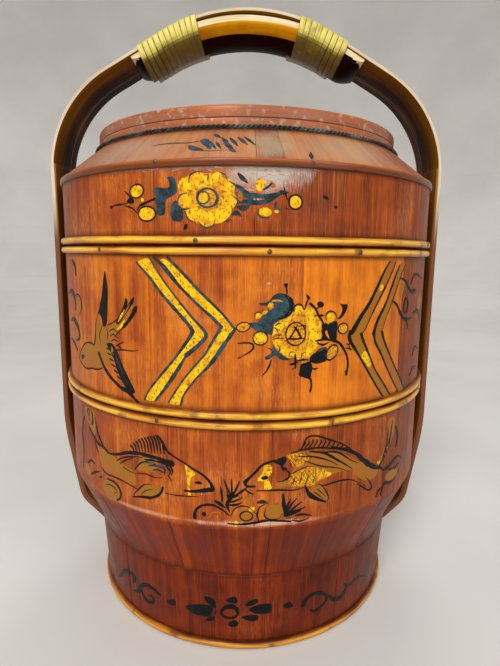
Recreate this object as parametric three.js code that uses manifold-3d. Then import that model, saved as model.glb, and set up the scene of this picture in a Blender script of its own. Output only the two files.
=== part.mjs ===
// Tiered bamboo food basket, in millimetres. +Z is up and the origin is the middle of the foot's lower edge.
// A round lower tier on a foot, a middle tier and a lid stack on inner lips. A bamboo strap bent over the
// stack along X carries it, with a half-culm grip bound under its crown by two rattan lashings.
import * as THREE from 'three';
import { mergeVertices } from 'three/addons/utils/BufferGeometryUtils.js';
import Module from 'manifold-3d';

const wasm = await Module();
wasm.setup();

// Clearances
const seatGap = 0.3; // between pieces that rest on or are glued to each other
const liftGap = 0.9; // between a lip and the mouth of the piece that lifts off it
const uprightGap = 1.8; // between the hoops and the uprights they slide past
const overrun = 1; // how far a cutter runs past what it cuts

// Tiers
const tierRadius = 147;
const wallThickness = 8;
const lowerTierHeight = 117.4; // from the foot's top to the joint with the middle tier
const middleTierHeight = 104.1;
const lipRise = 9;
const lipDepth = 14;
const lipThickness = 3;
const lipEase = 0.8;
const mouthHeadroom = 1.5; // over the lip, in the mouth of the lid
const rimEase = 1.2;

// Floors
const floorThickness = 8;
const grooveDepth = 3;
const lowerFloorRise = 10; // of the lower floor over the foot's top
const ledgeWidth = 10; // of the ledge that carries it
const floorHeadroom = 3; // over the lip, under the middle tier's floor

// Foot and bevel
const footHeight = 60;
const footInset = 19.5; // of the foot's top from the tiers
const footFlare = 4.2; // how much narrower the foot is at its bottom
const footThickness = 9;
const footEase = 1.5;
const bevelHeight = 47.5; // from the foot's top to the ridge
const ridgeRound = 12;
const coveRound = 20;

// Bamboo hoops, half-round culm strips that stand proud of the walls
const hoopHeight = 5.3;
const hoopProud = 2.7;
const hoopSetback = 0.5;
const footHoopProud = 2.3;
const footHoopRise = 0.6;
const hoopShoulderShare = 0.62; // of the proudness, at the hoop's upper and lower edges
const hoopCrownShare = 0.26; // of the height, where the rounding meets the flat crown

// Lid
const lidWallHeight = 45.5;
const edgeStripHeight = 4.4;
const edgeStripThickness = 1;
const edgeStripEase = 0.5;
const shoulderHeight = 23.2;
const shoulderLand = 2;
const collarInset = 28; // of the collar from the tiers
const collarThickness = 9;
const collarBandHeight = 7;
const collarRimHeight = 7.5;
const collarRimInset = 0.5;
const collarRimEase = 1.6;
const shoulderShelf = 10; // how far the shoulder's top reaches in under the top panel
const shoulderFlat = 2.2; // flat left outside the collar for the cord
const shoulderThickness = 7;
const topPanelThickness = 6.7;
const cordDiameter = 2.8;

// Handle strap
const strapWidth = 50;
const uprightThickness = 4;
const archThickness = 2.2;
const heelThickness = 5;
const strapEase = 0.5;
const handleRise = 95.4; // of its crown over the lid
const crownRadius = 130;
const crownSlope = 30; // degrees, of the straight flanks either side of the crown
const shoulderRadius = 91;
const stepRise = 7.4; // of the thick uprights' top over the start of the shoulder's bend
const stepRoundShare = 0.67; // of the step's depth
const heelSlope = 10; // degrees, from the uprights' foot over the ridge
const heelBendRadius = 190;
const toeSlope = 45; // degrees, where the strap turns in to the foot
const toeBendRadius = 20;
const toeDrop = 16; // below the foot's top, where the toe's outer face meets the foot

// Grip, a half culm with its skin down
const gripWidth = 49;
const gripSlack = 10; // how much wider than the crown the grip is bent
const gripHalfLength = 97;
const gripSide = 5.3;
const gripBelly = 10;
const culmThickness = 6;
const gripTaperLength = 13;
const gripTipShare = 0.35; // of the full depth, at the tapered ends

// Rattan lashings
const rattanWidth = 3.45;
const rattanThickness = 1.1;
const rattanEase = 0.45;
const lashingPitch = 4.6;
const lashingGap = 0.35;
const lashingInset = 6.4; // of the left lashing from the grip's end
const leftTurns = 11;
const rightTurns = 9;

// Nails through the strap
const shankRadius = 1.3;
const shankTip = 2;
const nailBite = 6.5;
const headRadius = 3.2;
const headHeight = 1.5;
const headRimShare = 0.4; // of the head's height, at its rim
const ridgeNailOffset = 12; // from the strap's middle
const ridgeNailDrop = 4; // below the ridge bend's upper end

// How finely round shapes are faceted
const roundFacets = 48;
const nailFacets = 8;
const cordFacets = 6;
const bendStep = 7.5; // degrees in one step of a strap bend
const roundStep = 12; // degrees in one step of a wall's rounded corner

const radians = THREE.MathUtils.degToRad;
const turned = THREE.MathUtils.radToDeg;

// Materials
const finish = ( color, roughness ) => new THREE.MeshStandardMaterial( { color, roughness, metalness: 0 } );
const wallLacquer = finish( 0xa8521c, 0.35 );
const bevelLacquer = finish( 0x8c3a1a, 0.35 );
const innerWood = finish( 0x9c6b3f, 0.7 );
const hoopBamboo = finish( 0xc8922c, 0.4 );
const strapBamboo = finish( 0x7a4a18, 0.4 );
const gripBamboo = finish( 0xd09020, 0.35 );
const rattan = finish( 0xd8c878, 0.5 );
const darkCord = finish( 0x2c3326, 0.6 );
const iron = new THREE.MeshStandardMaterial( { color: 0x3a3632, roughness: 0.5, metalness: 0.8 } );

// Geometry helpers

// Merges shared vertices and drops the empty triangles that a pole or a closed profile leaves.
function closed( geometry ) {

	const bare = new THREE.BufferGeometry();
	bare.setAttribute( 'position', geometry.getAttribute( 'position' ).clone() );
	if ( geometry.index ) bare.setIndex( geometry.index.clone() );
	const merged = mergeVertices( bare, 1e-4 );
	const kept = [];
	for ( let i = 0; i < merged.index.count; i += 3 ) {

		const [ a, b, c ] = [ 0, 1, 2 ].map( ( j ) => merged.index.getX( i + j ) );
		if ( a !== b && b !== c && c !== a ) kept.push( a, b, c );

	}

	merged.setIndex( kept );
	merged.computeVertexNormals();
	return merged;

}

// Replaces each corner [ x, y, radius ] that has a radius by an arc, with a point every few degrees.
function softened( corners, step, isLoop = true ) {

	const points = [];
	corners.forEach( ( [ x, y, radius ], i ) => {

		const corner = new THREE.Vector2( x, y );
		if ( ! radius || ( ! isLoop && ( i === 0 || i === corners.length - 1 ) ) ) {

			points.push( corner );
			return;

		}

		const before = new THREE.Vector2( ...corners.at( i - 1 ).slice( 0, 2 ) ).sub( corner ).normalize();
		const after = new THREE.Vector2( ...corners[ ( i + 1 ) % corners.length ].slice( 0, 2 ) );
		after.sub( corner ).normalize();
		const half = Math.acos( THREE.MathUtils.clamp( before.dot( after ), - 1, 1 ) ) / 2;
		const side = - Math.sign( before.cross( after ) );
		const centre = before.clone().add( after ).normalize().multiplyScalar( radius / Math.sin( half ) );
		centre.add( corner );
		const start = before.multiplyScalar( radius / Math.tan( half ) ).add( corner ).sub( centre );
		const sweep = Math.PI - 2 * half;
		const steps = Math.max( 1, Math.round( turned( sweep ) / step ) );
		for ( let k = 0; k <= steps; k ++ ) {

			const spoke = start.clone().rotateAround( new THREE.Vector2(), side * sweep * k / steps );
			points.push( spoke.add( centre ) );

		}

	} );
	return points;

}

// Revolves a profile of [ radius, height, rounding ] corners about Z. A ring's profile closes on itself,
// and a disc's starts and ends on the axis.
function revolved( corners, facets = roundFacets ) {

	const isRing = corners.every( ( [ radius ] ) => radius > 0 );
	let profile = softened( corners, roundStep, isRing );
	if ( isRing ) profile = [ ...profile, profile[ 0 ].clone() ];
	if ( THREE.ShapeUtils.area( profile ) < 0 ) profile.reverse();
	const geometry = new THREE.LatheGeometry( profile, facets );
	geometry.rotateX( Math.PI / 2 );
	return closed( geometry );

}

// Extrudes an outline in X and Z by a width that is centred on Y, with small bevels on its long edges.
function plank( outline, width, ease ) {

	const shape = new THREE.Shape( outline );
	const geometry = new THREE.ExtrudeGeometry( shape, {
		depth: width - 2 * ease,
		bevelEnabled: true,
		bevelThickness: ease,
		bevelSize: ease,
		bevelOffset: - ease,
		bevelSegments: 1
	} );
	geometry.translate( 0, 0, ease - width / 2 );
	geometry.rotateX( Math.PI / 2 );
	return closed( geometry );

}

// Joins rings of points, each with the same count, into a closed body with flat ends.
function lofted( rings ) {

	const count = rings[ 0 ].length;
	const positions = rings.flat().flatMap( ( p ) => [ p.x, p.y, p.z ] );
	const indices = [];
	for ( let r = 0; r < rings.length - 1; r ++ ) {

		for ( let k = 0; k < count; k ++ ) {

			const a = r * count + k;
			const b = r * count + ( k + 1 ) % count;
			indices.push( a, b, b + count, a, b + count, a + count );

		}

	}

	return [ positions, indices ];

}

// Closes both ends of a loft with the triangles of a flat section, and turns its faces out.
function capped( rings, section ) {

	const [ positions, indices ] = lofted( rings );
	const last = ( rings.length - 1 ) * section.length;
	for ( const [ a, b, c ] of THREE.ShapeUtils.triangulateShape( section, [] ) ) {

		indices.push( a, c, b );
		indices.push( last + a, last + b, last + c );

	}

	const geometry = new THREE.BufferGeometry();
	geometry.setAttribute( 'position', new THREE.Float32BufferAttribute( positions, 3 ) );
	geometry.setIndex( volumeOf( positions, indices ) < 0 ? indices.reverse() : indices );
	return closed( geometry );

}

function volumeOf( positions, indices ) {

	const corner = ( i ) => new THREE.Vector3().fromArray( positions, 3 * indices[ i ] );
	let volume = 0;
	for ( let i = 0; i < indices.length; i += 3 ) {

		volume += corner( i ).dot( corner( i + 1 ).cross( corner( i + 2 ) ) ) / 6;

	}

	return volume;

}

function solid( geometry ) {

	return new wasm.Manifold( new wasm.Mesh( {
		numProp: 3,
		vertProperties: new Float32Array( geometry.getAttribute( 'position' ).array ),
		triVerts: new Uint32Array( geometry.index.array )
	} ) );

}

// Cuts tools out of a body and gives the rest back as a geometry.
function cut( geometry, tools ) {

	const rest = tools.reduce( ( body, tool ) => body.subtract( solid( tool ) ), solid( geometry ) );
	const mesh = rest.getMesh();
	const result = new THREE.BufferGeometry();
	result.setAttribute( 'position', new THREE.Float32BufferAttribute( mesh.vertProperties, mesh.numProp ) );
	result.setIndex( Array.from( mesh.triVerts ) );
	result.computeVertexNormals();
	return result;

}

const basket = new THREE.Group();
basket.name = 'tiered_food_basket';

function add( name, geometry, material ) {

	const mesh = new THREE.Mesh( geometry, material );
	mesh.name = name;
	basket.add( mesh );

}

// Sizes that follow from the driving dimensions
const innerRadius = tierRadius - wallThickness;
const footTopRadius = tierRadius - footInset;
const footBottomRadius = footTopRadius - footFlare;
const ridgeHeight = footHeight + bevelHeight;
const lowerJointHeight = footHeight + lowerTierHeight;
const upperJointHeight = lowerJointHeight + middleTierHeight;
const lowerRimHeight = lowerJointHeight - seatGap;
const middleRimHeight = upperJointHeight - seatGap;
const bevelTangent = ( tierRadius - footTopRadius ) / ( ridgeHeight - footHeight );
const bevelAngle = Math.atan( bevelTangent );
const hoopInnerRadius = tierRadius + seatGap;
const hoopRadius = hoopInnerRadius + hoopProud;

// Hoops: the back lies flat against the wall and the skin is rounded
function hoopProfile( backRadius, bottom, proud ) {

	const top = bottom + hoopHeight;
	const crown = hoopHeight * hoopCrownShare;
	return [
		[ backRadius, bottom ],
		[ backRadius + proud * hoopShoulderShare, bottom ],
		[ backRadius + proud, bottom + crown ],
		[ backRadius + proud, top - crown ],
		[ backRadius + proud * hoopShoulderShare, top ],
		[ backRadius, top ]
	];

}

const hoopUnderRim = ( joint ) => hoopProfile( hoopInnerRadius, joint - hoopSetback - hoopHeight, hoopProud );
const hoopOverJoint = ( joint ) => hoopProfile( hoopInnerRadius, joint + hoopSetback, hoopProud );

// Lips: bent bands glued inside a rim that stand up into the mouth of the piece above
function lip( rimHeight ) {

	const outer = innerRadius - seatGap;
	const inner = outer - lipThickness;
	return revolved( [
		[ outer, rimHeight - lipDepth ],
		[ outer, rimHeight + lipRise - lipEase ],
		[ outer - lipEase, rimHeight + lipRise ],
		[ inner + lipEase, rimHeight + lipRise ],
		[ inner, rimHeight + lipRise - lipEase ],
		[ inner, rimHeight - lipDepth ]
	] );

}

const mouthRadius = innerRadius - seatGap + liftGap;

// Foot
const footRadiusAt = ( z ) => THREE.MathUtils.mapLinear( z, 0, footHeight, footBottomRadius, footTopRadius );
const footRimHeight = footHeight - seatGap;

function footRing() {

	return revolved( [
		[ footBottomRadius - footEase, 0 ],
		[ footRadiusAt( footEase ), footEase ],
		[ footRadiusAt( footRimHeight ), footRimHeight ],
		[ footRadiusAt( footRimHeight ) - footThickness, footRimHeight ],
		[ footBottomRadius - footThickness, footEase ],
		[ footBottomRadius - footThickness + footEase, 0 ]
	] );

}

function footHoop() {

	const back = Math.max( footRadiusAt( footHoopRise ), footRadiusAt( footHoopRise + hoopHeight ) ) + seatGap;
	return revolved( hoopProfile( back, footHoopRise, footHoopProud ) );

}

// Lower tier: its staves run from the rim over the ridge and down the bevel to the foot
const lowerFloorHeight = footHeight + lowerFloorRise;
const lowerFloorTop = lowerFloorHeight + floorThickness;
const bevelInnerRadiusAt = ( z ) =>
	tierRadius - wallThickness / Math.cos( bevelAngle ) - ( ridgeHeight - z ) * bevelTangent;
const lowerFloorRadius = bevelInnerRadiusAt( lowerFloorTop );
const lowerLedgeRadius = lowerFloorRadius - ledgeWidth;
const innerRidgeHeight = ridgeHeight + wallThickness * Math.tan( bevelAngle / 2 );

function lowerWall() {

	return revolved( [
		[ footTopRadius, footHeight ],
		[ footTopRadius + coveRound * ( 1 - Math.cos( bevelAngle ) ), footHeight + coveRound * Math.sin( bevelAngle ) ],
		[ tierRadius, ridgeHeight, ridgeRound ],
		[ tierRadius, lowerRimHeight ],
		[ innerRadius + rimEase, lowerRimHeight ],
		[ innerRadius, lowerRimHeight - rimEase ],
		[ innerRadius, innerRidgeHeight ],
		[ lowerFloorRadius, lowerFloorTop ],
		[ lowerFloorRadius, lowerFloorHeight - seatGap ],
		[ lowerLedgeRadius, lowerFloorHeight - seatGap ],
		[ lowerLedgeRadius, footHeight ]
	] );

}

function board( radius, bottom ) {

	return revolved( [
		[ 0, bottom ],
		[ radius, bottom ],
		[ radius, bottom + floorThickness ],
		[ 0, bottom + floorThickness ]
	] );

}

// Middle tier: a groove in its wall holds the floor board above the lower tier's lip
const middleFloorHeight = lowerJointHeight + lipRise + floorHeadroom;
const grooveRadius = innerRadius + grooveDepth;

function middleWall() {

	return revolved( [
		[ tierRadius, lowerJointHeight ],
		[ tierRadius, middleRimHeight ],
		[ innerRadius + rimEase, middleRimHeight ],
		[ innerRadius, middleRimHeight - rimEase ],
		[ innerRadius, middleFloorHeight + floorThickness + seatGap ],
		[ grooveRadius, middleFloorHeight + floorThickness + seatGap ],
		[ grooveRadius, middleFloorHeight - seatGap ],
		[ mouthRadius, middleFloorHeight - seatGap ],
		[ mouthRadius, lowerJointHeight ]
	] );

}

// Lid: a short wall, a sloping shoulder, and a raised collar of two bands round a top panel
const lidWallTop = upperJointHeight + lidWallHeight;
const mouthTop = upperJointHeight + lipRise + mouthHeadroom;
const shoulderBase = lidWallTop + seatGap;
const collarFootHeight = shoulderBase + shoulderHeight;
const collarRadius = tierRadius - collarInset;
const collarInnerRadius = collarRadius - collarThickness;

function lidWall() {

	return revolved( [
		[ tierRadius, upperJointHeight ],
		[ tierRadius, lidWallTop ],
		[ innerRadius, lidWallTop ],
		[ innerRadius, mouthTop ],
		[ mouthRadius, mouthTop ],
		[ mouthRadius, upperJointHeight ]
	] );

}

function edgeStrip() {

	const back = tierRadius + seatGap;
	const face = back + edgeStripThickness;
	const middle = lidWallTop + seatGap / 2;
	return revolved( [
		[ back, middle - edgeStripHeight / 2 ],
		[ face, middle - edgeStripHeight / 2 ],
		[ face, middle + edgeStripHeight / 2 - edgeStripEase ],
		[ face - edgeStripEase, middle + edgeStripHeight / 2 ],
		[ back, middle + edgeStripHeight / 2 ]
	] );

}

function shoulder() {

	const top = collarFootHeight;
	const flatRadius = collarRadius + shoulderFlat;
	const landHeight = shoulderBase + shoulderLand;
	const slope = ( top - landHeight ) / ( tierRadius - flatRadius );
	const shelf = collarInnerRadius - shoulderShelf;
	const underside = top - shoulderThickness;
	return revolved( [
		[ tierRadius, shoulderBase ],
		[ tierRadius, landHeight ],
		[ flatRadius, top ],
		[ shelf, top ],
		[ shelf, underside ],
		[ innerRadius - ( underside - shoulderBase ) / slope, underside ],
		[ innerRadius, shoulderBase ]
	] );

}

const collarBase = collarFootHeight + seatGap;
const collarRimBase = collarBase + collarBandHeight + seatGap;

function collarBand() {

	return revolved( [
		[ collarRadius, collarBase ],
		[ collarRadius, collarBase + collarBandHeight ],
		[ collarInnerRadius, collarBase + collarBandHeight ],
		[ collarInnerRadius, collarBase ]
	] );

}

function collarRim() {

	const outer = collarRadius - collarRimInset;
	const inner = collarInnerRadius - collarRimInset;
	const top = collarRimBase + collarRimHeight;
	return revolved( [
		[ outer, collarRimBase ],
		[ outer, top - collarRimEase ],
		[ outer - collarRimEase, top ],
		[ inner + collarRimEase, top ],
		[ inner, top - collarRimEase ],
		[ inner, collarRimBase ]
	] );

}

function collarCord() {

	const radius = collarRadius + seatGap + cordDiameter / 2;
	const height = collarFootHeight + seatGap + cordDiameter / 2;
	const corners = [];
	for ( let k = 0; k < cordFacets; k ++ ) {

		const angle = 2 * Math.PI * k / cordFacets;
		corners.push( [
			radius + Math.cos( angle ) * cordDiameter / 2,
			height + Math.sin( angle ) * cordDiameter / 2
		] );

	}

	return revolved( corners );

}

function topPanel() {

	const radius = collarInnerRadius - collarRimInset - seatGap;
	return revolved( [
		[ 0, collarBase ],
		[ radius, collarBase ],
		[ radius, collarBase + topPanelThickness ],
		[ 0, collarBase + topPanelThickness ]
	] );

}

// Handle strap: an outline in X and Z, given for the right half and mirrored
const heelAngle = radians( heelSlope );
const toeAngle = radians( toeSlope );
const crownAngle = radians( crownSlope );
const uprightInner = hoopRadius + uprightGap;
const uprightOuter = uprightInner + uprightThickness;
const handleHeight = collarRimBase + collarRimHeight + handleRise;
const crownApex = handleHeight + crownRadius * ( 1 / Math.cos( crownAngle ) - 1 );

// The heel's inner face lies against the ridge's rounding
const heelReach = ridgeRound + seatGap;
const ridgeTop = ridgeHeight + ridgeRound * Math.tan( bevelAngle / 2 );
const heelContact = new THREE.Vector2(
	tierRadius - ridgeRound + heelReach * Math.cos( heelAngle ),
	ridgeTop - heelReach * Math.sin( heelAngle )
);
const heelLine = ( z, offset ) =>
	heelContact.x + ( z - heelContact.y ) * Math.tan( heelAngle ) + offset / Math.cos( heelAngle );
const heelHeightAt = ( x, offset ) =>
	heelContact.y + ( x - heelContact.x - offset / Math.cos( heelAngle ) ) / Math.tan( heelAngle );

// The toe's faces run down and in at a slope that ends on the foot
const toeHeight = footHeight - toeDrop;
const toeContact = new THREE.Vector2( footRadiusAt( toeHeight ), toeHeight );
const toeLine = ( x, offset ) =>
	toeContact.y + ( x - toeContact.x ) / Math.tan( toeAngle ) + offset / Math.sin( toeAngle );

function heelMeetsToe( heelOffset, toeOffset ) {

	const toeRise = 1 / Math.tan( toeAngle );
	const heelRun = Math.tan( heelAngle );
	const startX = heelLine( 0, heelOffset );
	const startZ = toeLine( 0, toeOffset );
	const x = ( startX + startZ * heelRun ) / ( 1 - toeRise * heelRun );
	return [ x, startZ + x * toeRise ];

}

// Straight flank of the arch at a depth under its outer face
const flankHeightAt = ( x, depth ) => crownApex - depth / Math.cos( crownAngle ) - x * Math.tan( crownAngle );
const archInner = uprightOuter - archThickness;
const toeEnd = footBottomRadius - footThickness;

// The shoulder's bend starts level with its centre, and the uprights are thick to a little above that
const shoulderCentre = flankHeightAt( uprightOuter - shoulderRadius, shoulderRadius );
const stepHeight = shoulderCentre + stepRise;
const stepRound = ( uprightThickness - archThickness ) * stepRoundShare;

function strapOutline() {

	const outer = [
		[ 0, crownApex, crownRadius ],
		[ uprightOuter, flankHeightAt( uprightOuter, 0 ), shoulderRadius ],
		[ uprightOuter, heelHeightAt( uprightOuter, heelThickness ), heelBendRadius ],
		[ ...heelMeetsToe( heelThickness, 0 ), toeBendRadius + heelThickness ],
		[ toeEnd, toeLine( toeEnd, 0 ) ]
	];
	const inner = [
		[ toeEnd, toeLine( toeEnd, heelThickness ) ],
		[ ...heelMeetsToe( 0, heelThickness ), toeBendRadius ],
		[ uprightInner, heelHeightAt( uprightInner, 0 ), heelBendRadius - uprightThickness ],
		[ uprightInner, stepHeight, stepRound ]
	];
	const archInnerCorners = [
		[ archInner, flankHeightAt( archInner, archThickness ), shoulderRadius - archThickness ],
		[ 0, flankHeightAt( 0, archThickness ), crownRadius - archThickness ]
	];
	const mirror = ( corners ) => corners.map( ( [ x, z, round ] ) => [ - x, z, round ] ).reverse();
	const outerPoints = softened(
		[ ...mirror( outer.slice( 1 ) ), ...outer ], bendStep, false
	);
	const archPoints = softened(
		[ [ archInner, 0 ], ...archInnerCorners, ...mirror( archInnerCorners.slice( 0, 1 ) ), [ - archInner, 0 ] ],
		bendStep, false
	);
	const above = archPoints.filter( ( p ) => p.y > stepHeight + uprightThickness - archThickness );
	const stepX = above[ 0 ].x;
	const rightInner = softened( [ ...inner, [ stepX, stepHeight ] ], bendStep, false );
	const leftInner = rightInner.map( ( p ) => new THREE.Vector2( - p.x, p.y ) ).reverse();
	return [ ...outerPoints, ...rightInner, ...above.slice( 1 ), ...leftInner ];

}

// Grip: stations along the arc and flanks of its top face, with a hollow half-culm section
const gripRadius = crownRadius + gripSlack;
const gripCentre = handleHeight - crownRadius
	+ ( crownRadius - archThickness - seatGap - gripRadius ) / Math.cos( crownAngle );

// Point, outward normal and tangent of an arch of arc and flanks, at a distance along it from the crown.
function archFrame( distance, radius, centre ) {

	const side = Math.sign( distance ) || 1;
	const along = Math.abs( distance );
	const angle = Math.min( along / radius, crownAngle );
	const rest = along - angle * radius;
	const tangent = new THREE.Vector3( Math.cos( angle ), 0, - side * Math.sin( angle ) );
	const normal = new THREE.Vector3( side * Math.sin( angle ), 0, Math.cos( angle ) );
	const point = normal.clone().multiplyScalar( radius ).addScaledVector( tangent, side * rest );
	point.z += centre;
	return { point, normal, tangent, angle };

}

const gripDepth = gripSide + gripBelly;
const bellyRadius = ( ( gripWidth / 2 ) ** 2 + gripBelly ** 2 ) / ( 2 * gripBelly );
const bellyEdge = Math.asin( gripWidth / 2 / bellyRadius );
const bellyFacets = 8;
const hollowFacets = 6;

// Half-culm section as [ across, down ] points, for a depth that is a share of the full one.
function culmSection( depthShare ) {

	const section = [ [ - gripWidth / 2, 0 ] ];
	for ( let k = 0; k <= bellyFacets; k ++ ) {

		const angle = THREE.MathUtils.lerp( - bellyEdge, bellyEdge, k / bellyFacets );
		const down = gripSide + bellyRadius * Math.cos( angle ) - ( bellyRadius - gripBelly );
		section.push( [ bellyRadius * Math.sin( angle ), down * depthShare ] );

	}

	section.push( [ gripWidth / 2, 0 ] );
	const hollowHalf = gripWidth / 2 - culmThickness;
	for ( let k = 0; k <= hollowFacets; k ++ ) {

		const angle = Math.PI * k / hollowFacets;
		section.push( [
			hollowHalf * Math.cos( angle ),
			( gripDepth - culmThickness ) * Math.sin( angle ) * depthShare
		] );

	}

	return section;

}

function grip() {

	const stationCount = 17;
	const bodyHalf = gripHalfLength - gripTaperLength;
	const stations = [ [ - gripHalfLength, gripTipShare ] ];
	for ( let k = 0; k < stationCount; k ++ ) {

		stations.push( [ THREE.MathUtils.lerp( - bodyHalf, bodyHalf, k / ( stationCount - 1 ) ), 1 ] );

	}

	stations.push( [ gripHalfLength, gripTipShare ] );
	const rings = stations.map( ( [ distance, depthShare ] ) => {

		const { point, normal } = archFrame( distance, gripRadius, gripCentre );
		return culmSection( depthShare ).map( ( [ across, down ] ) => {

			const p = point.clone().addScaledVector( normal, - down );
			p.y = across;
			return p;

		} );

	} );
	return capped( rings, culmSection( 1 ).map( ( [ across, down ] ) => new THREE.Vector2( across, - down ) ) );

}

// Lashings: one flat rattan strip wound round strap and grip, each turn a run of stations
const lashingOffset = lashingGap + rattanThickness / 2;
const lashingStart = gripHalfLength - lashingInset - leftTurns * lashingPitch;
const strapCentre = handleHeight - crownRadius;

// Depth under the strap's outer face of a surface that lies a given depth inside the grip's top face.
function bundleDepth( angle, gripInset ) {

	const shift = strapCentre - gripCentre;
	const radius = gripRadius - gripInset;
	const reach = - shift * Math.cos( angle ) + Math.sqrt( radius ** 2 - ( shift * Math.sin( angle ) ) ** 2 );
	return crownRadius - reach;

}

// One turn's stations as { across, up, facing }: where the strip lies and which way its face looks.
function turnStations( angle ) {

	const halfStrap = strapWidth / 2;
	const halfBundle = Math.max( strapWidth, gripWidth ) / 2;
	const sideDown = bundleDepth( angle, gripSide );
	const bellyCentre = - bundleDepth( angle, gripDepth ) + bellyRadius;
	const stations = [];
	const place = ( across, up, degrees, reach = lashingOffset ) => {

		const facing = radians( degrees );
		stations.push( {
			across: across + reach * Math.cos( facing ),
			up: up + reach * Math.sin( facing ),
			facing
		} );

	};

	const underEdge = 90 - turned( bellyEdge );
	for ( let k = bellyFacets / 2; k <= bellyFacets; k ++ ) {

		const degrees = - 90 + ( 90 - underEdge ) * ( 2 * k / bellyFacets - 1 );
		place( 0, bellyCentre, degrees, bellyRadius + lashingOffset );

	}

	place( halfBundle, - sideDown, 0 );
	place( halfBundle, 0, 0 );
	place( halfStrap, 0, 45 );
	place( halfStrap, 0, 90 );
	place( - halfStrap, 0, 90 );
	place( - halfStrap, 0, 135 );
	place( - halfBundle, 0, 180 );
	place( - halfBundle, - sideDown, 180 );
	for ( let k = 0; k < bellyFacets / 2; k ++ ) {

		const degrees = - 90 + ( 90 - underEdge ) * ( 2 * k / bellyFacets - 1 );
		place( 0, bellyCentre, degrees, bellyRadius + lashingOffset );

	}

	return stations;

}

// How far round a turn each station lies, as a share of the turn's length.
function stationShares() {

	const points = turnStations( crownAngle ).map( ( s ) => new THREE.Vector2( s.across, s.up ) );
	const lengths = points.map( ( p, i ) => p.distanceTo( points[ ( i + 1 ) % points.length ] ) );
	const total = lengths.reduce( ( sum, length ) => sum + length );
	let run = 0;
	return lengths.map( ( length ) => {

		const share = run / total;
		run += length;
		return share;

	} );

}

function stripSection() {

	const half = rattanWidth / 2;
	const thick = rattanThickness / 2;
	return [
		[ - half, 0 ],
		[ - half + rattanEase, - thick ],
		[ half - rattanEase, - thick ],
		[ half, 0 ],
		[ half - rattanEase, thick ],
		[ - half + rattanEase, thick ]
	];

}

function lashing( side, turns, name ) {

	const shares = stationShares();
	const section = stripSection();
	const rings = [];
	const stationTotal = turns * shares.length;
	for ( let i = 0; i <= stationTotal; i ++ ) {

		const k = i % shares.length;
		const progress = Math.floor( i / shares.length ) + shares[ k ];
		const distance = side * ( lashingStart + lashingPitch * progress );
		const { point, normal, tangent, angle } = archFrame( distance, crownRadius, strapCentre );
		const station = turnStations( angle )[ k ];
		const outward = normal.clone().multiplyScalar( Math.sin( station.facing ) );
		outward.y = Math.cos( station.facing );
		const centre = point.clone().addScaledVector( normal, station.up );
		centre.y = station.across;
		rings.push( section.map( ( [ along, out ] ) =>
			centre.clone().addScaledVector( tangent, along ).addScaledVector( outward, out ) ) );

	}

	console.log( `${ name }: least gap between turns ${ leastGap( rings, shares.length ).toFixed( 2 ) } mm` );
	return capped( rings, section.map( ( [ x, y ] ) => new THREE.Vector2( x, y ) ) );

}

// Least distance from a ring's points to the edges of rings more than half a turn further on.
function leastGap( rings, turnLength ) {

	let least = Infinity;
	const nearest = new THREE.Vector3();
	rings.forEach( ( ring, i ) => {

		const from = i + Math.ceil( turnLength / 2 );
		const to = Math.min( rings.length - 1, i + turnLength + Math.ceil( turnLength / 2 ) );
		for ( let j = from; j < to; j ++ ) {

			ring.forEach( ( p ) => {

				rings[ j ].forEach( ( q, k ) => {

					const edge = new THREE.Line3( q, rings[ j + 1 ][ k ] );
					edge.closestPointToPoint( p, true, nearest );
					least = Math.min( least, nearest.distanceTo( p ) );

				} );

			} );

		}

	} );
	return least;

}

// Nails: a domed head on the strap's outer face and a shank through it into the wood behind
function nailGeometry( length ) {

	return revolved( [
		[ 0, - length ],
		[ shankRadius, - length + shankTip ],
		[ shankRadius, seatGap ],
		[ headRadius, seatGap ],
		[ headRadius, seatGap + headHeight * headRimShare ],
		[ 0, seatGap + headHeight ]
	], nailFacets );

}

function nailHole( length ) {

	return revolved( [
		[ 0, - length - seatGap ],
		[ shankRadius + seatGap, - length - seatGap ],
		[ shankRadius + seatGap, overrun ],
		[ 0, overrun ]
	], nailFacets );

}

// Turns a geometry made along Z so that Z points along a slope outwards in X, and places it.
function nailPlaced( geometry, side, x, y, z, slope ) {

	geometry.rotateY( side * ( Math.PI / 2 + slope ) );
	geometry.translate( side * x, y, z );
	return geometry;

}

const ridgeNailLength = heelThickness + seatGap + nailBite;
const toeNailLength = heelThickness + nailBite;
const ridgeNailHeight = ridgeTop - ridgeNailDrop;
const ridgeNailX = heelLine( ridgeNailHeight, heelThickness );
const toeNailX = toeContact.x + heelThickness;
const nails = [];
for ( const [ side, hand ] of [ [ - 1, 'left' ], [ 1, 'right' ] ] ) {

	for ( const [ away, end ] of [ [ - 1, 'front' ], [ 1, 'back' ] ] ) {

		nails.push( {
			name: `ridge_nail_${ hand }_${ end }`,
			length: ridgeNailLength,
			place: [ side, ridgeNailX, away * ridgeNailOffset, ridgeNailHeight, heelAngle ]
		} );

	}

	nails.push( {
		name: `toe_nail_${ hand }`,
		length: toeNailLength,
		place: [ side, toeNailX, 0, toeLine( toeNailX, 0 ), toeAngle ]
	} );

}

const nailHoles = () => nails.map( ( nail ) => nailPlaced( nailHole( nail.length ), ...nail.place ) );

function footCutter() {

	return revolved( [
		[ 0, - overrun ],
		[ footBottomRadius + seatGap, - overrun ],
		[ footBottomRadius + seatGap, 0 ],
		[ footTopRadius + seatGap, footHeight ],
		[ 0, footHeight ]
	] );

}

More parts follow.
